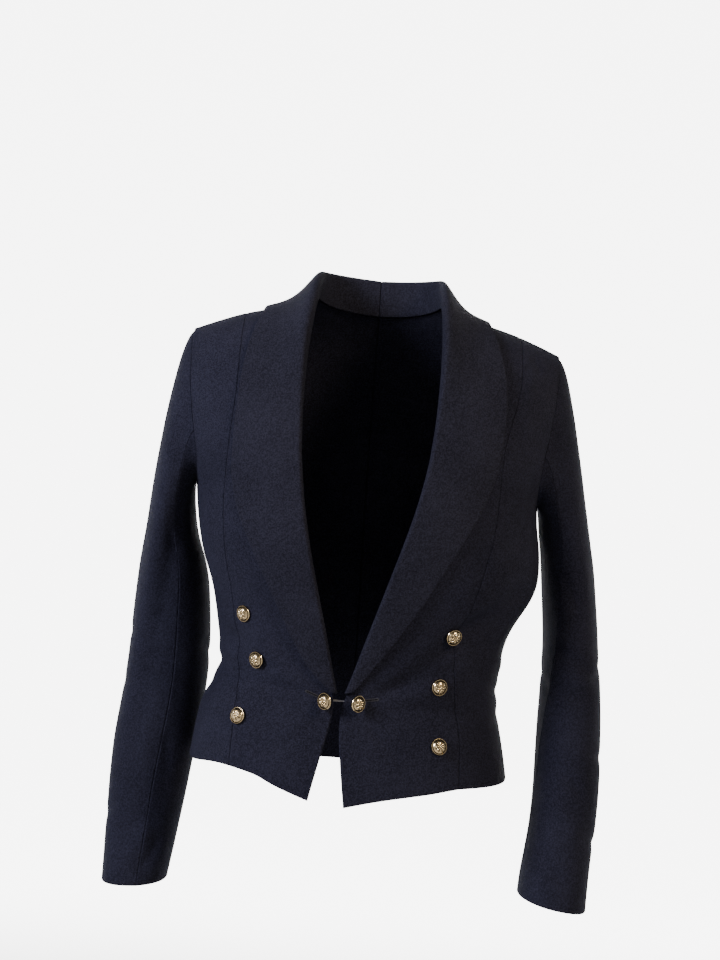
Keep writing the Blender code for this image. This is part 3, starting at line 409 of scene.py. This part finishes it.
# %% Rows of creases
CREASES = (
    # part, side, across0, height0, across1, height1, half width, lift mm, bow
    ("body", "front", 0.150, -0.306, 0.020, -0.409, 0.0065, -2.7, 0.006),
    ("body", "front", 0.142, -0.287, 0.045, -0.372, 0.0085, 1.8, 0.007),
    ("body", "front", 0.152, -0.345, 0.030, -0.408, 0.0060, -2.1, 0.004),
    ("body", "front", 0.160, -0.380, 0.060, -0.407, 0.0070, 1.5, -0.003),
    ("body", "front", 0.140, -0.425, 0.030, -0.421, 0.0060, -1.7, -0.004),
    ("body", "front", 0.128, -0.452, 0.040, -0.430, 0.0075, 1.3, 0.003),
    ("body", "front", 0.060, -0.470, 0.015, -0.428, 0.0055, -1.3, 0.002),
    ("body", "front", 0.126, -0.245, 0.118, -0.310, 0.0070, -1.3, 0.003),
    ("body", "front", -0.120, -0.389, -0.030, -0.411, 0.0055, -2.2, -0.004),
    ("body", "front", -0.145, -0.372, -0.060, -0.401, 0.0070, 1.7, -0.003),
    ("body", "front", -0.150, -0.398, -0.070, -0.412, 0.0055, -1.8, 0.002),
    ("body", "front", -0.135, -0.425, -0.035, -0.419, 0.0065, -1.4, 0.003),
    ("body", "front", -0.088, -0.462, -0.030, -0.428, 0.0060, 1.1, -0.003),
    ("body", "front", -0.125, -0.330, -0.075, -0.385, 0.0080, 1.3, 0.005),
    ("body", "front", -0.160, -0.190, -0.148, -0.290, 0.0060, -1.5, -0.004),
    ("body", "front", -0.168, -0.215, -0.160, -0.275, 0.0050, 1.3, 0.003),
    ("body", "front", 0.172, -0.165, 0.158, -0.255, 0.0060, -1.7, 0.005),
    ("body", "front", 0.164, -0.060, 0.166, -0.150, 0.0065, 1.3, -0.004),
    ("body", "front", 0.165, -0.046, 0.175, -0.064, 0.0040, -1.4, 0.001),
    ("body", "front", -0.100, -0.490, -0.090, -0.440, 0.0080, 1.0, 0.003),
    ("body", "front", 0.184, -0.284, 0.090, -0.356, 0.0135, -6.8, 0.003),
    ("body", "front", 0.086, -0.374, 0.020, -0.408, 0.0065, -2.6, 0.003),
    ("body", "front", 0.170, -0.330, 0.100, -0.378, 0.0090, 2.8, 0.004),
    ("body", "front", -0.190, -0.346, -0.108, -0.363, 0.0095, -4.8, -0.003),
    ("body", "front", -0.146, -0.356, -0.068, -0.404, 0.0080, -2.4, 0.003),
    ("body", "back", -0.120, -0.378, -0.012, -0.398, 0.0065, -2.4, -0.005),
    ("body", "back", -0.105, -0.402, -0.020, -0.412, 0.0055, 1.5, 0.003),
    ("body", "back", 0.130, -0.384, 0.018, -0.401, 0.0065, -2.2, 0.005),
    ("body", "back", 0.108, -0.352, 0.030, -0.380, 0.0080, 1.4, -0.004),
    ("body", "back", -0.092, -0.425, -0.030, -0.418, 0.0060, -1.4, 0.002),
    ("body", "back", 0.086, -0.428, 0.026, -0.419, 0.0055, -1.3, -0.003),
    ("body", "back", -0.150, -0.120, -0.128, -0.235, 0.0070, -1.8, 0.006),
    ("body", "back", -0.136, -0.105, -0.110, -0.205, 0.0085, 1.4, 0.005),
    ("body", "back", 0.152, -0.118, 0.132, -0.240, 0.0070, -2.0, -0.006),
    ("body", "back", 0.134, -0.100, 0.112, -0.190, 0.0080, 1.3, -0.005),
    ("body", "back", -0.060, -0.052, 0.052, -0.056, 0.0085, -1.1, -0.004),
    ("body", "back", -0.055, -0.470, -0.050, -0.430, 0.0080, 1.0, 0.003),
    ("body", "left", -0.060, -0.392, 0.060, -0.402, 0.0060, -2.0, 0.004),
    ("body", "left", -0.050, -0.372, 0.050, -0.384, 0.0075, 1.4, -0.003),
    ("body", "left", -0.040, -0.422, 0.055, -0.418, 0.0065, -1.3, 0.003),
    ("body", "right", -0.055, -0.396, 0.060, -0.404, 0.0060, -2.0, -0.004),
    ("body", "right", -0.070, -0.366, 0.045, -0.390, 0.0075, 1.4, 0.003),
    ("body", "right", -0.045, -0.428, 0.050, -0.421, 0.0065, -1.3, -0.003),
    ("left sleeve", "front", -0.232, -0.380, -0.172, -0.402, 0.0060, -2.5, -0.004),
    ("left sleeve", "front", -0.236, -0.405, -0.178, -0.436, 0.0055, -2.0, 0.004),
    ("left sleeve", "front", -0.238, -0.392, -0.182, -0.418, 0.0065, 1.5, -0.002),
    ("left sleeve", "front", -0.225, -0.346, -0.176, -0.362, 0.0060, -1.4, 0.003),
    ("left sleeve", "front", -0.192, -0.581, -0.212, -0.628, 0.0060, -2.8, 0.004),
    ("left sleeve", "front", -0.204, -0.572, -0.228, -0.612, 0.0070, 1.8, 0.004),
    ("left sleeve", "front", -0.214, -0.250, -0.188, -0.300, 0.0060, -1.5, 0.004),
    ("left sleeve", "front", -0.216, -0.455, -0.205, -0.540, 0.0080, 1.5, -0.005),
    ("left sleeve", "front", -0.196, -0.470, -0.192, -0.560, 0.0060, -1.7, 0.004),
    ("left sleeve", "front", -0.204, -0.188, -0.246, -0.500, 0.0090, 1.6, -0.003),
    ("left sleeve", "front", -0.187, -0.205, -0.228, -0.520, 0.0110, -3.6, -0.003),
    ("left sleeve", "left", -0.020, -0.386, 0.072, -0.372, 0.0065, -1.7, 0.005),
    ("left sleeve", "left", 0.000, -0.418, 0.080, -0.430, 0.0065, -1.5, -0.004),
    ("left sleeve", "left", 0.010, -0.560, 0.060, -0.598, 0.0060, -1.8, 0.003),
    ("left sleeve", "back", -0.225, -0.398, -0.180, -0.414, 0.0065, -1.7, 0.003),
    ("left sleeve", "back", -0.222, -0.330, -0.182, -0.310, 0.0060, -1.4, 0.003),
    ("left sleeve", "right", 0.010, -0.380, 0.070, -0.402, 0.0060, -2.1, 0.003),
    ("right sleeve", "front", 0.210, -0.352, 0.262, -0.384, 0.0060, -2.4, 0.005),
    ("right sleeve", "front", 0.212, -0.392, 0.264, -0.404, 0.0060, -2.0, -0.004),
    ("right sleeve", "front", 0.210, -0.376, 0.262, -0.392, 0.0070, 1.5, 0.002),
    ("right sleeve", "front", 0.206, -0.262, 0.236, -0.322, 0.0060, -1.8, 0.005),
    ("right sleeve", "front", 0.222, -0.242, 0.246, -0.302, 0.0065, 1.3, 0.004),
    ("right sleeve", "front", 0.214, -0.470, 0.258, -0.512, 0.0065, -2.0, 0.005),
    ("right sleeve", "front", 0.208, -0.500, 0.252, -0.548, 0.0070, 1.4, 0.004),
    ("right sleeve", "front", 0.206, -0.556, 0.244, -0.592, 0.0060, -1.7, -0.003),
    ("right sleeve", "right", -0.030, -0.388, 0.060, -0.362, 0.0065, -1.7, 0.005),
    ("right sleeve", "right", -0.050, -0.452, 0.030, -0.470, 0.0065, -1.5, -0.004),
    ("right sleeve", "right", -0.060, -0.540, 0.000, -0.572, 0.0060, -1.7, 0.003),
    ("right sleeve", "back", 0.218, -0.402, 0.262, -0.420, 0.0065, -1.8, 0.003),
    ("right sleeve", "back", 0.216, -0.318, 0.256, -0.338, 0.0060, -1.4, 0.003),
    ("right sleeve", "left", -0.020, -0.402, 0.050, -0.380, 0.0060, -2.0, 0.003),
)
print("creases:", len(CREASES))

# %% How a crease lifts the cloth
# For each side: the column across the view, the column that faces it, and which way it faces
SEEN_FROM = {"front": (0, 1, -1), "back": (0, 1, 1), "left": (1, 0, -1), "right": (1, 0, 1)}
TURNED_AWAY, FACING = 0.15, 0.62  # a crease is full where the cloth faces its side
COMES_IN, DIES_OUT = (-0.06, 0.22), (0.72, 1.10)  # shares of its run


def soft_step(values, start, finish):
    """0 below start, 1 above finish, with a soft step between them."""
    t = np.clip((values - start) / (finish - start), 0, 1)
    return t * t * (3 - 2 * t)


def crease_lift(places, normals, part):
    """How far each point of a part is lifted by its creases, in metres."""
    lift = np.zeros(len(places))
    for row_part, side, x0, z0, x1, z1, width, depth, bow in CREASES:
        if row_part != part:
            continue
        across, facing, way = SEEN_FROM[side]
        seen = soft_step(normals[:, facing] * way, TURNED_AWAY, FACING)
        run = np.array((x1 - x0, z1 - z0))
        length = np.hypot(*run)
        from_start = places[:, (across, 2)] - (x0, z0)
        along = from_start @ run / length ** 2
        off = (from_start[:, 1] * run[0] - from_start[:, 0] * run[1]) / length
        off = off - bow * (1 - (2 * np.clip(along, 0, 1) - 1) ** 2)
        fade = soft_step(along, *COMES_IN) * (1 - soft_step(along, *DIES_OUT))
        swell = 0.78 + 0.22 * np.sin(9 * along + 40 * x0)
        lift += depth * 0.001 * seen * fade * swell * np.exp(-(off / width) ** 2)
    return lift


def ease_ripple(places):
    """The slow, shallow unevenness that pressed wool keeps."""
    x, y, z = (places * 1000).T
    slow = np.sin(x / 31 + y / 47 + 1.3) * np.sin(z / 39 + y / 58 + 0.4)
    quick = np.sin(x / 13 - z / 21 + 2.1) * np.sin(y / 16 + z / 17)
    return 0.00028 * slow + 0.00012 * quick


ripple = ease_ripple(np.zeros((1, 3)))[0]
print("ripple at the origin:", round(float(ripple) * 1000, 3), "mm")

# %% Press the creases
EDGE_POINTS = 5
COLLAR_LIFT = 0.0013
SET_IN_FLAT, SET_IN_FULL = 0.001, 0.016  # how far from a set-in seam creases start and are full
TOO_LOW = 5e-5  # a lift that no eye sees needs no fading


def rim_tree(names):
    """Points along every rim edge of some sheets, to look up the nearest one."""
    points = []
    for name in names:
        bm = bmesh.new()
        bm.from_mesh(sheets[name])
        ends = [(edge.verts[0].co, edge.verts[1].co) for edge in bm.edges if edge.is_boundary]
        for start, end in ends:
            points += [start.lerp(end, share / EDGE_POINTS) for share in range(EDGE_POINTS)]
        bm.free()
    tree = KDTree(len(points))
    for number, point in enumerate(points):
        tree.insert(point, number)
    tree.balance()
    return tree


def press_creases(mesh, part, set_in, stand_off):
    """Lift every point of a sheet along its normal, with creases faded by the set-in seams."""
    places = np.empty(len(mesh.vertices) * 3)
    normals = np.empty(len(mesh.vertices) * 3)
    mesh.vertices.foreach_get("co", places)
    mesh.vertex_normals.foreach_get("vector", normals)
    places, normals = places.reshape(-1, 3), normals.reshape(-1, 3)
    lift = crease_lift(places, normals, part)
    lifted = np.flatnonzero(np.abs(lift) > TOO_LOW)
    gaps = np.array([set_in.find(places[number])[2] for number in lifted])
    lift[lifted] *= soft_step(gaps, SET_IN_FLAT, SET_IN_FULL)
    lift += ease_ripple(places) + stand_off
    mesh.vertices.foreach_set("co", (places + normals * lift[:, None]).ravel())
    mesh.update()


set_in = {
    part: rim_tree([name for name in PATTERN if part_of(name) != part])
    for part in ("body", "left sleeve", "right sleeve")
}
for name, mesh in sheets.items():
    part, stand_off = part_of(name), COLLAR_LIFT if "collar" in name else 0
    press_creases(mesh, part, set_in[part], stand_off)
print("points pressed:", sum(len(mesh.vertices) for mesh in sheets.values()))

# %% [markdown]
# ## Seams and edges
# Where two pieces meet, the seam is pressed open and sinks between them. Where a piece ends, its
# edge is turned in and rolls over. First a thin strip is cut along every rim. Then the rim
# itself is drawn in, and at a seam it is also pulled just past the middle of the gap, so that no
# light comes through. A rim point is all seam where another piece of cloth lies within 0.7 mm,
# and all edge where none lies within 1.4 mm. Two attributes keep this for the finish, which
# paints shade along the seams. The outer edge of the collar lies on the cloth below and would
# cast a shadow line there, so it is marked like a seam and gets a painted shadow.

# %% Seams and edges
STRIP = 0.0012
SEAM_NEAR, SEAM_FAR = 0.0007, 0.0014
SEAM_SINK = 0.0006
SEAM_CLOSE = 0.62  # share of the gap that each side closes
EDGE_ROLL = 0.0007
ROOM_USED = 0.7  # share of the strip that a rim may sink by, so that it never folds over
# painted shadow: the collar's outer edge gets more than a seam's full value, for a wider dark line
LAID_EDGE_SHADOW = 2.0  # past 1, which makes the dark line of the collar's edge wider
ROLL_INWARDS, ROLL_UPWARDS = -0.3, 0.6  # a rim that faces further that way is on the collar's roll

neighbours = {name: rim_tree([other for other in PATTERN if other != name]) for name in PATTERN}


def is_outer(vert):
    """Whether a rim point of the collar is on its outer edge, and not on its roll."""
    outwards = vert.normal.x * math.copysign(1, vert.co.x)
    return outwards > ROLL_INWARDS and vert.normal.z < ROLL_UPWARDS


def draw_in_rims(bm, name):
    """Cut a strip along the rims, then sink the seams and roll the edges."""
    across = [
        edge for edge in bm.edges if edge.verts[0].is_boundary != edge.verts[1].is_boundary
    ]
    shares = {}
    for cut in across:
        share = min(0.5, STRIP / max(cut.calc_length(), 1e-6))
        shares[cut] = share if cut.verts[0].is_boundary else 1 - share
    bmesh.ops.subdivide_edges(
        bm, edges=across, cuts=1, edge_percents=shares, quad_corner_type="STRAIGHT_CUT"
    )
    bm.normal_update()
    seam_and_shade = bm.verts.layers.float.new("seam_and_shade")
    edge = bm.verts.layers.float.new("edge")
    others = neighbours[name]
    moves = []
    for vert in bm.verts:
        if vert.is_boundary:
            target, _, gap = others.find(vert.co)
            sewn = 1 - float(soft_step(gap, SEAM_NEAR, SEAM_FAR))
            vert[seam_and_shade], vert[edge] = sewn, 1 - sewn
            # painted shadow of the collar's outer edge on the cloth below, put in with the seams
            if "collar" in name and is_outer(vert):
                vert[seam_and_shade] = LAID_EDGE_SHADOW
            closing = (target - vert.co) * SEAM_CLOSE * sewn
            inward = [link.calc_length() for link in vert.link_edges if not link.is_boundary]
            room = min(inward, default=STRIP)
            sinking = min(SEAM_SINK * sewn + EDGE_ROLL * (1 - sewn), room * ROOM_USED)
            moves.append((vert, closing - vert.normal * sinking))
    for vert, move in moves:
        vert.co += move


print("seams looked up for", len(neighbours), "pieces")

# %% [markdown]
# ## Sewing each piece of cloth
# Now the steps come together. The rims of the creased sheet are drawn in, and a
# Solidify modifier gives it the cloth's thickness on the inside, so the outside stays where the
# pattern put it. Every piece replaces its own plain node and takes its name from its pattern piece.

# %% Sew the cloth
def name_slot(name):
    """The finish of a piece: collar, sleeve or body cloth."""
    return {"shawl": "collar_cloth", "sleeve": "sleeve_cloth"}.get(name.split("_")[0], "body_cloth")


def cloth_piece(name):
    """The finished sheet of one pattern piece, with its thickness, slot and node."""
    mesh = sheets[name]
    bm = bmesh.new()
    bm.from_mesh(mesh)
    draw_in_rims(bm, name)
    bm.to_mesh(mesh)
    bm.free()
    mesh.shade_smooth()
    mesh.name = name + "_cloth"
    slot = name_slot(name)
    mesh.materials.clear()
    mesh.materials.append(cloths[slot])
    piece = bpy.data.objects.new(name + "_cloth", mesh)
    bpy.context.scene.collection.objects.link(piece)
    wall = piece.modifiers.new("thickness", "SOLIDIFY")
    wall.thickness = COLLAR_CLOTH if slot == "collar_cloth" else CLOTH
    wall.offset = -1
    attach(piece, "root")
    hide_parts(name)
    return piece


pieces = {name: cloth_piece(name) for name in PATTERN}
print("sewn:", len(pieces))

# %% [markdown]
# ## Gilt buttons
# A dress button is struck from sheet brass: a dome, a raised rim, and a shank behind. Turning it
# is one spin of a half section round the button's own axis. A plain rosette of eight
# petals stands in low relief on the dome. It is struck with the dome, so it is joined to it.
# The axis and seat come from the node, because the flattest face of a button is its back.

# %% Where each button sits
def button_seat(name):
    """Matrix of a button: its back at the origin, its face along +Z."""
    bm = bmesh.new()
    bm.from_mesh(nodes[name].data)
    bmesh.ops.remove_doubles(bm, verts=bm.verts, dist=1e-6)
    bmesh.ops.dissolve_limit(bm, angle_limit=math.radians(1), verts=bm.verts, edges=bm.edges)
    back = max(bm.faces, key=lambda face: face.calc_area())
    place, way = back.calc_center_median(), -back.normal.copy()
    radius = max((vert.co - place).cross(way).length for vert in bm.verts)
    height = max((vert.co - place).dot(way) for vert in bm.verts)
    bm.free()
    turned = way.to_track_quat("Z", "Y").to_matrix().to_4x4()
    return Matrix.Translation(place) @ turned, radius, height


for name in ("front_button_left_1", "cuff_button_right_1"):
    _, radius, height = button_seat(name)
    print(name, "radius", round(radius * 1000, 2), "mm, height", round(height * 1000, 2), "mm")

# %% Turning and joining
def spun(bm, section, steps):
    """Spin a half section, given as radius and height, round the Z axis into a closed shape."""
    points = [bm.verts.new((radius, 0, height)) for radius, height in section]
    line = [bm.edges.new(pair) for pair in zip(points, points[1:])]
    bmesh.ops.spin(
        bm, geom=points + line, cent=(0, 0, 0), axis=(0, 0, 1), angle=math.tau,
        steps=steps, use_merge=True,
    )
    bmesh.ops.remove_doubles(bm, verts=bm.verts, dist=1e-7)
    bmesh.ops.recalc_face_normals(bm, faces=bm.faces)


def finished(name, bm, material, place=Matrix.Identity(4), sharp=40):
    """A piece from a bmesh, put in its place, with edges sharper than an angle kept crisp."""
    bmesh.ops.transform(bm, matrix=place, verts=bm.verts)
    mesh = bpy.data.meshes.new(name)
    bm.to_mesh(mesh)
    bm.free()
    mesh.shade_smooth()
    mesh.set_sharp_from_angle(angle=math.radians(sharp))
    mesh.materials.append(material)
    piece = bpy.data.objects.new(name, mesh)
    bpy.context.scene.collection.objects.link(piece)
    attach(piece, "root")
    return piece


print("turning tools ready")

# %% [markdown]
# ## The gilt finish
# The gilt is made darker and rougher in its hollows and low down by the rim, and stays bright on
# the high places. The button's own height is painted on it as an attribute, so the finish can
# darken the hollows. Fine polishing lines roughen it a little.

# %% Gilt
gilt_board = Board("gilt_brass")
hollow = gilt_board.attribute("hollow")
spots = gilt_board.noise(900.0, 3.0)
# darker and rougher in the hollows and low down by the rim, broken up by spots of noise
dark_hollow_mask = gilt_board.ramp(hollow + (spots - 0.5) * 0.6, 0.16, 0.80)
gilt_colour = gilt_board.mix(dark_hollow_mask, (0.54, 0.44, 0.26, 1), (0.022, 0.014, 0.007, 1))
scratches = gilt_board.noise(3200.0, 2.0, gilt_board.stretched((1, 0.25, 1)))
gilt = gilt_board.finish(
    Base_Color=gilt_colour,
    Metallic=1.0,
    Roughness=0.09 + dark_hollow_mask * 0.30 + scratches * 0.08,
    Normal=gilt_board.bump(scratches + spots * 0.6, 0.00006, 0.5),
)
print("gilt ready")

# %% Gilt buttons
PETALS = 8
PETAL_LEAN = math.radians(16)
SHANK = 0.0009
GILT_STEPS = 48


def gilt_button(name, shank):
    """A struck button with a rim and a rosette. Only a sewn-on one needs a shank below it."""
    place, radius, height = button_seat(name)
    rim = height * 0.36  # the rim is shown by its own height, the dome by the button's
    section = (
        (0, height), (radius * 0.22, height * 0.985), (radius * 0.44, height * 0.92),
        (radius * 0.62, height * 0.79), (radius * 0.75, height * 0.60),
        (radius * 0.815, height * 0.42), (radius * 0.84, rim * 0.86), (radius * 0.865, rim * 0.98),
        (radius * 0.90, rim * 1.22), (radius * 0.945, rim * 1.20), (radius * 0.99, rim * 0.88),
        (radius, rim * 0.55), (radius * 0.965, rim * 0.16), (radius * 0.90, 0),
        (radius * 0.30, 0), (0, 0),
    )
    bm = bmesh.new()
    spun(bm, section, GILT_STEPS)
    hollow = bm.verts.layers.float.new("hollow")
    for vert in bm.verts:
        out = math.hypot(vert.co.x, vert.co.y) / radius
        round_axis = math.atan2(vert.co.y, vert.co.x)
        between_petals = 0.35 * (1 - math.cos(PETALS * round_axis)) * (0.2 < out < 0.7)
        groove = math.exp(-((out - 0.845) / 0.06) ** 2)
        vert[hollow] = groove + max(0, 0.5 - vert.co.z / rim) + between_petals
    lean = Matrix.Rotation(PETAL_LEAN, 4, "Y")
    petal = Matrix.Diagonal((radius * 0.24, radius * 0.095, height * 0.15, 1))
    seat = Matrix.Translation((radius * 0.38, 0, height * 0.91))
    for number in range(PETALS):
        turned = Matrix.Rotation(math.tau * number / PETALS, 4, "Z")
        at = turned @ seat @ lean @ petal
        bmesh.ops.create_icosphere(bm, subdivisions=2, radius=1, matrix=at)
    boss = Matrix.Diagonal((radius * 0.12, radius * 0.12, height * 0.13, 1))
    at = Matrix.Translation((0, 0, height * 0.98)) @ boss
    bmesh.ops.create_icosphere(bm, subdivisions=2, radius=1, matrix=at)
    if shank:
        bmesh.ops.create_cone(
            bm, cap_ends=True, segments=16, radius1=radius * 0.16, radius2=radius * 0.20,
            depth=shank, matrix=Matrix.Translation((0, 0, -shank / 2)),
        )
    piece = finished(name + "_gilt", bm, gilt, place)
    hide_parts(name)
    return piece


golds = [name for name in sorted(nodes) if name.startswith("front_button")]
for name in golds:
    gilt_button(name, SHANK)
links = ("link_button_left", "link_button_right")
for name in links:
    gilt_button(name, 0.0)
print("gilt buttons:", len(golds) + len(links))

# %% [markdown]
# ## Dark cuff buttons
# The three cuff buttons are cast horn or resin, sewn through four holes. The rim is spun as
# before. A cross of thread lies in the hollow.

# %% Cuff buttons
horn_board = Board("dark_horn")
streaks = horn_board.noise(260.0, 3.0, horn_board.stretched((1, 1, 0.35)))
horn = horn_board.finish(
    Base_Color=horn_board.mix(streaks, (0.008, 0.008, 0.010, 1), (0.030, 0.028, 0.034, 1)),
    Roughness=0.28 + streaks * 0.16,
    Normal=horn_board.bump(streaks, 0.0001, 0.3),
)
thread_board = Board("dark_thread")
twist = thread_board.node(
    "ShaderNodeTexWave", {"bands_direction": "DIAGONAL"},
    {"Vector": thread_board.places(), "Scale": 900.0},
)
thread = thread_board.finish(
    Base_Color=thread_board.mix(twist, (0.003, 0.003, 0.005, 1), (0.013, 0.014, 0.022, 1)),
    Roughness=0.85 - twist * 0.15,
    Normal=thread_board.bump(twist, 0.0002, 0.6),
)
CROSS_RADIUS = 0.0003
CROSS_SPREAD = 0.00028  # each arm of the cross is two threads, this far from its middle
CROSS_RISE = 0.00018
HORN_STEPS = 40


def cuff_button(name):
    """A sewn-through button with a raised rim and crossed thread."""
    place, radius, height = button_seat(name)
    floor_level = height * 0.62
    section = (
        (0, floor_level), (radius * 0.40, floor_level), (radius * 0.56, height * 0.68),
        (radius * 0.68, height * 0.90), (radius * 0.79, height), (radius * 0.90, height * 0.94),
        (radius * 0.98, height * 0.70), (radius, height * 0.48), (radius * 0.96, height * 0.20),
        (radius * 0.86, 0), (0, 0),
    )
    bm = bmesh.new()
    spun(bm, section, HORN_STEPS)
    body = finished(name + "_horn", bm, horn, place, 50)
    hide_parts(name)
    bm = bmesh.new()
    lying = Matrix.Rotation(math.pi / 2, 4, "Y")
    for turn in (math.pi / 4, -math.pi / 4):
        for side in (-1, 1):
            beside = Matrix.Translation((0, side * CROSS_SPREAD, floor_level + CROSS_RISE))
            bmesh.ops.create_cone(
                bm, cap_ends=True, segments=10, radius1=CROSS_RADIUS, radius2=CROSS_RADIUS,
                depth=radius * 0.62, matrix=Matrix.Rotation(turn, 4, "Z") @ beside @ lying,
            )
    finished(name + "_thread", bm, thread, place, 80)


cuffs = [name for name in sorted(nodes) if name.startswith("cuff_button")]
for name in cuffs:
    cuff_button(name)
print("cuff buttons:", len(cuffs))

# %% [markdown]
# ## The link and its buttonholes
# A mess jacket never closes edge to edge. Two buttons are joined by a short loop of cord that
# passes through a buttonhole in each front. The cord is two strands twisted together, so each
# strand is a thin tube that winds round the same route. The route's stops are those of the node.
# The cord is waxed, so it is paler and smoother than the sewing thread.

# %% Link cord
link_board = Board("link_thread")
link_twist = link_board.noise(2400.0, 2.0)
link_thread = link_board.finish(
    Base_Color=link_board.mix(link_twist, (0.030, 0.031, 0.036, 1), (0.16, 0.16, 0.17, 1)),
    Roughness=0.45 + link_twist * 0.2,
)
LINK_STOPS = (
    (-0.02380, -0.11750, -0.4145), (-0.02253, -0.11609, -0.4145), (-0.02400, -0.11003, -0.4145),
    (-0.02300, -0.10573, -0.4145), (0.00750, -0.10648, -0.4145), (0.00850, -0.11078, -0.4145),
    (0.00703, -0.11684, -0.4145), (0.00830, -0.11826, -0.4145),
)
STRAND = 0.00058
STRAND_OFF = 0.72  # how far each strand winds from the route, as a share of its own radius
TWISTS = 9
CELLS = 16  # points between two stops
UP = Vector((0, 0, 1))


def smooth_route(stops, cells):
    """Points of a Catmull-Rom curve, which passes through every stop."""
    stops = [Vector(stop) for stop in stops]
    route = []
    for i in range(len(stops) - 1):
        before, after = stops[max(i - 1, 0)], stops[min(i + 2, len(stops) - 1)]
        here, there = stops[i], stops[i + 1]
        for j in range(cells):
            t = j / cells
            first = 2 * here + (there - before) * t
            second = (2 * before - 5 * here + 4 * there - after) * t ** 2
            third = (3 * here - before - 3 * there + after) * t ** 3
            route.append((first + second + third) / 2)
    return route + [stops[-1]]


def tube(bm, route, radius, sides=10):
    """A tube along a route: a ring swept from point to point, with its ends closed."""
    ring = bmesh.ops.create_circle(bm, segments=sides, radius=radius)["verts"]
    way = (route[1] - route[0]).normalized()
    start = Matrix.Translation(route[0]) @ way.to_track_quat("Z", "Y").to_matrix().to_4x4()
    bmesh.ops.transform(bm, matrix=start, verts=ring)
    edges = list(bm.faces.new(ring).edges)
    for here, there in zip(route, route[1:]):
        ahead = (there - here).normalized()
        grown = bmesh.ops.extrude_edge_only(bm, edges=edges)["geom"]
        edges = [item for item in grown if isinstance(item, bmesh.types.BMEdge)]
        fresh = [item for item in grown if isinstance(item, bmesh.types.BMVert)]
        swing = way.rotation_difference(ahead).to_matrix().to_4x4()
        step = Matrix.Translation(there) @ swing @ Matrix.Translation(-here)
        bmesh.ops.transform(bm, matrix=step, verts=fresh)
        way = ahead
    bmesh.ops.contextual_create(bm, geom=edges)
    bmesh.ops.recalc_face_normals(bm, faces=bm.faces)


route = smooth_route(LINK_STOPS, CELLS)
bm = bmesh.new()
for phase in (0.0, math.pi):
    strand = []
    for number, point in enumerate(route):
        ahead = route[min(number + 1, len(route) - 1)] - route[max(number - 1, 0)]
        out = ahead.cross(UP).normalized()
        angle = phase + math.tau * TWISTS * number / (len(route) - 1)
        winding = out * math.cos(angle) + UP * math.sin(angle)
        strand.append(point + winding * STRAND * STRAND_OFF)
    tube(bm, strand, STRAND)
link_cord = finished("link_cord_twisted", bm, link_thread, sharp=80)
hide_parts("link_cord")
link_length = sum((there - here).length for here, there in zip(route, route[1:]))
print("link cord length:", round(link_length * 1000, 1), "mm")

# %% [markdown]
# ## Worked buttonholes
# A tailor cuts a slit and covers its raw edges with close stitches. The slit runs outward from
# the link. Each stitch is a short bar of thread laid across the edge, on the surface of
# the front, which a ray from the viewer's side finds. Between the rows lies a thin near-black
# tube on the cloth, a painted shadow of the cut.

# %% Buttonhole finish and stitches
# painted shadow: the slit is a near-black tube laid on the cloth, for the shade inside the cut
slit_board = Board("slit_shadow")
slit_fibres = slit_board.noise(1500.0)
slit_shade = slit_board.mix(slit_fibres, (0.0008, 0.0008, 0.0012, 1), (0.003, 0.003, 0.005, 1))
slit_board.shader.inputs["Specular IOR Level"].default_value = 0.02
slit_dark = slit_board.finish(Base_Color=slit_shade, Roughness=0.95)

BUTTONHOLES = {
    # inner end and outer end of the slit, seen from the front
    "left": ((-0.0285, -0.4122), (-0.0440, -0.4072)),
    "right": ((0.0140, -0.4118), (0.0285, -0.4098)),
}
SLIT, SLIT_RISE, SLIT_CELLS = 0.0005, 0.00005, 12
STITCH, STITCH_RISE, STITCH_PITCH = 0.00023, 0.00016, 0.00062
STITCH_ROW = 0.00085  # from the slit to the middle of a stitch
STITCH_REACH = 0.00062  # half a stitch's length
FAN_TURN, FAN_REACH = 0.5, (0.00035, 0.00150)


def cloth_finder(name):
    """A function that finds where the line of sight meets a piece, and the cloth's slope there."""
    tree = BVHTree.FromObject(pieces[name], bpy.context.evaluated_depsgraph_get())

    def find(sideways, height):
        viewer = Vector((sideways, -0.4, height))
        place, slope, _, _ = tree.ray_cast(viewer, Vector((0, 1, 0)))
        return place, slope if slope.y < 0 else -slope

    return find


def sew(bm, find, ends):
    """One stitch: a bar of thread between two points of the cloth, seen from the front."""
    met = [find(*end) for end in ends]
    tube(bm, [place + slope * STITCH_RISE for place, slope in met], STITCH, 5)


print("buttonholes to work:", sorted(BUTTONHOLES))

# %% Work the buttonholes
for side, (inner, outer) in BUTTONHOLES.items():
    find = cloth_finder("front_centre_" + side)
    inner, outer = Vector(inner), Vector(outer)
    run = outer - inner
    across = Vector((-run.y, run.x)).normalized()
    slit_bm, stitch_bm = bmesh.new(), bmesh.new()
    stops = [find(*(inner + run * number / SLIT_CELLS)) for number in range(SLIT_CELLS + 1)]
    tube(slit_bm, [place + slope * SLIT_RISE for place, slope in stops], SLIT, 8)
    count = int(run.length / STITCH_PITCH)
    for number in range(count + 1):
        for way in (-1, 1):
            middle = inner + run * number / count + across * way * STITCH_ROW
            sew(stitch_bm, find, [middle + across * reach * STITCH_REACH for reach in (-1, 1)])
    for swing in range(-3, 4):
        # a fan of stitches turns round the outer end, where the strain is
        fan = run.normalized() * math.cos(swing * FAN_TURN) + across * math.sin(swing * FAN_TURN)
        sew(stitch_bm, find, [outer + fan * reach for reach in FAN_REACH])
    finished(f"buttonhole_{side}_slit", slit_bm, slit_dark, sharp=80)
    finished(f"buttonhole_{side}_stitches", stitch_bm, thread, sharp=80)
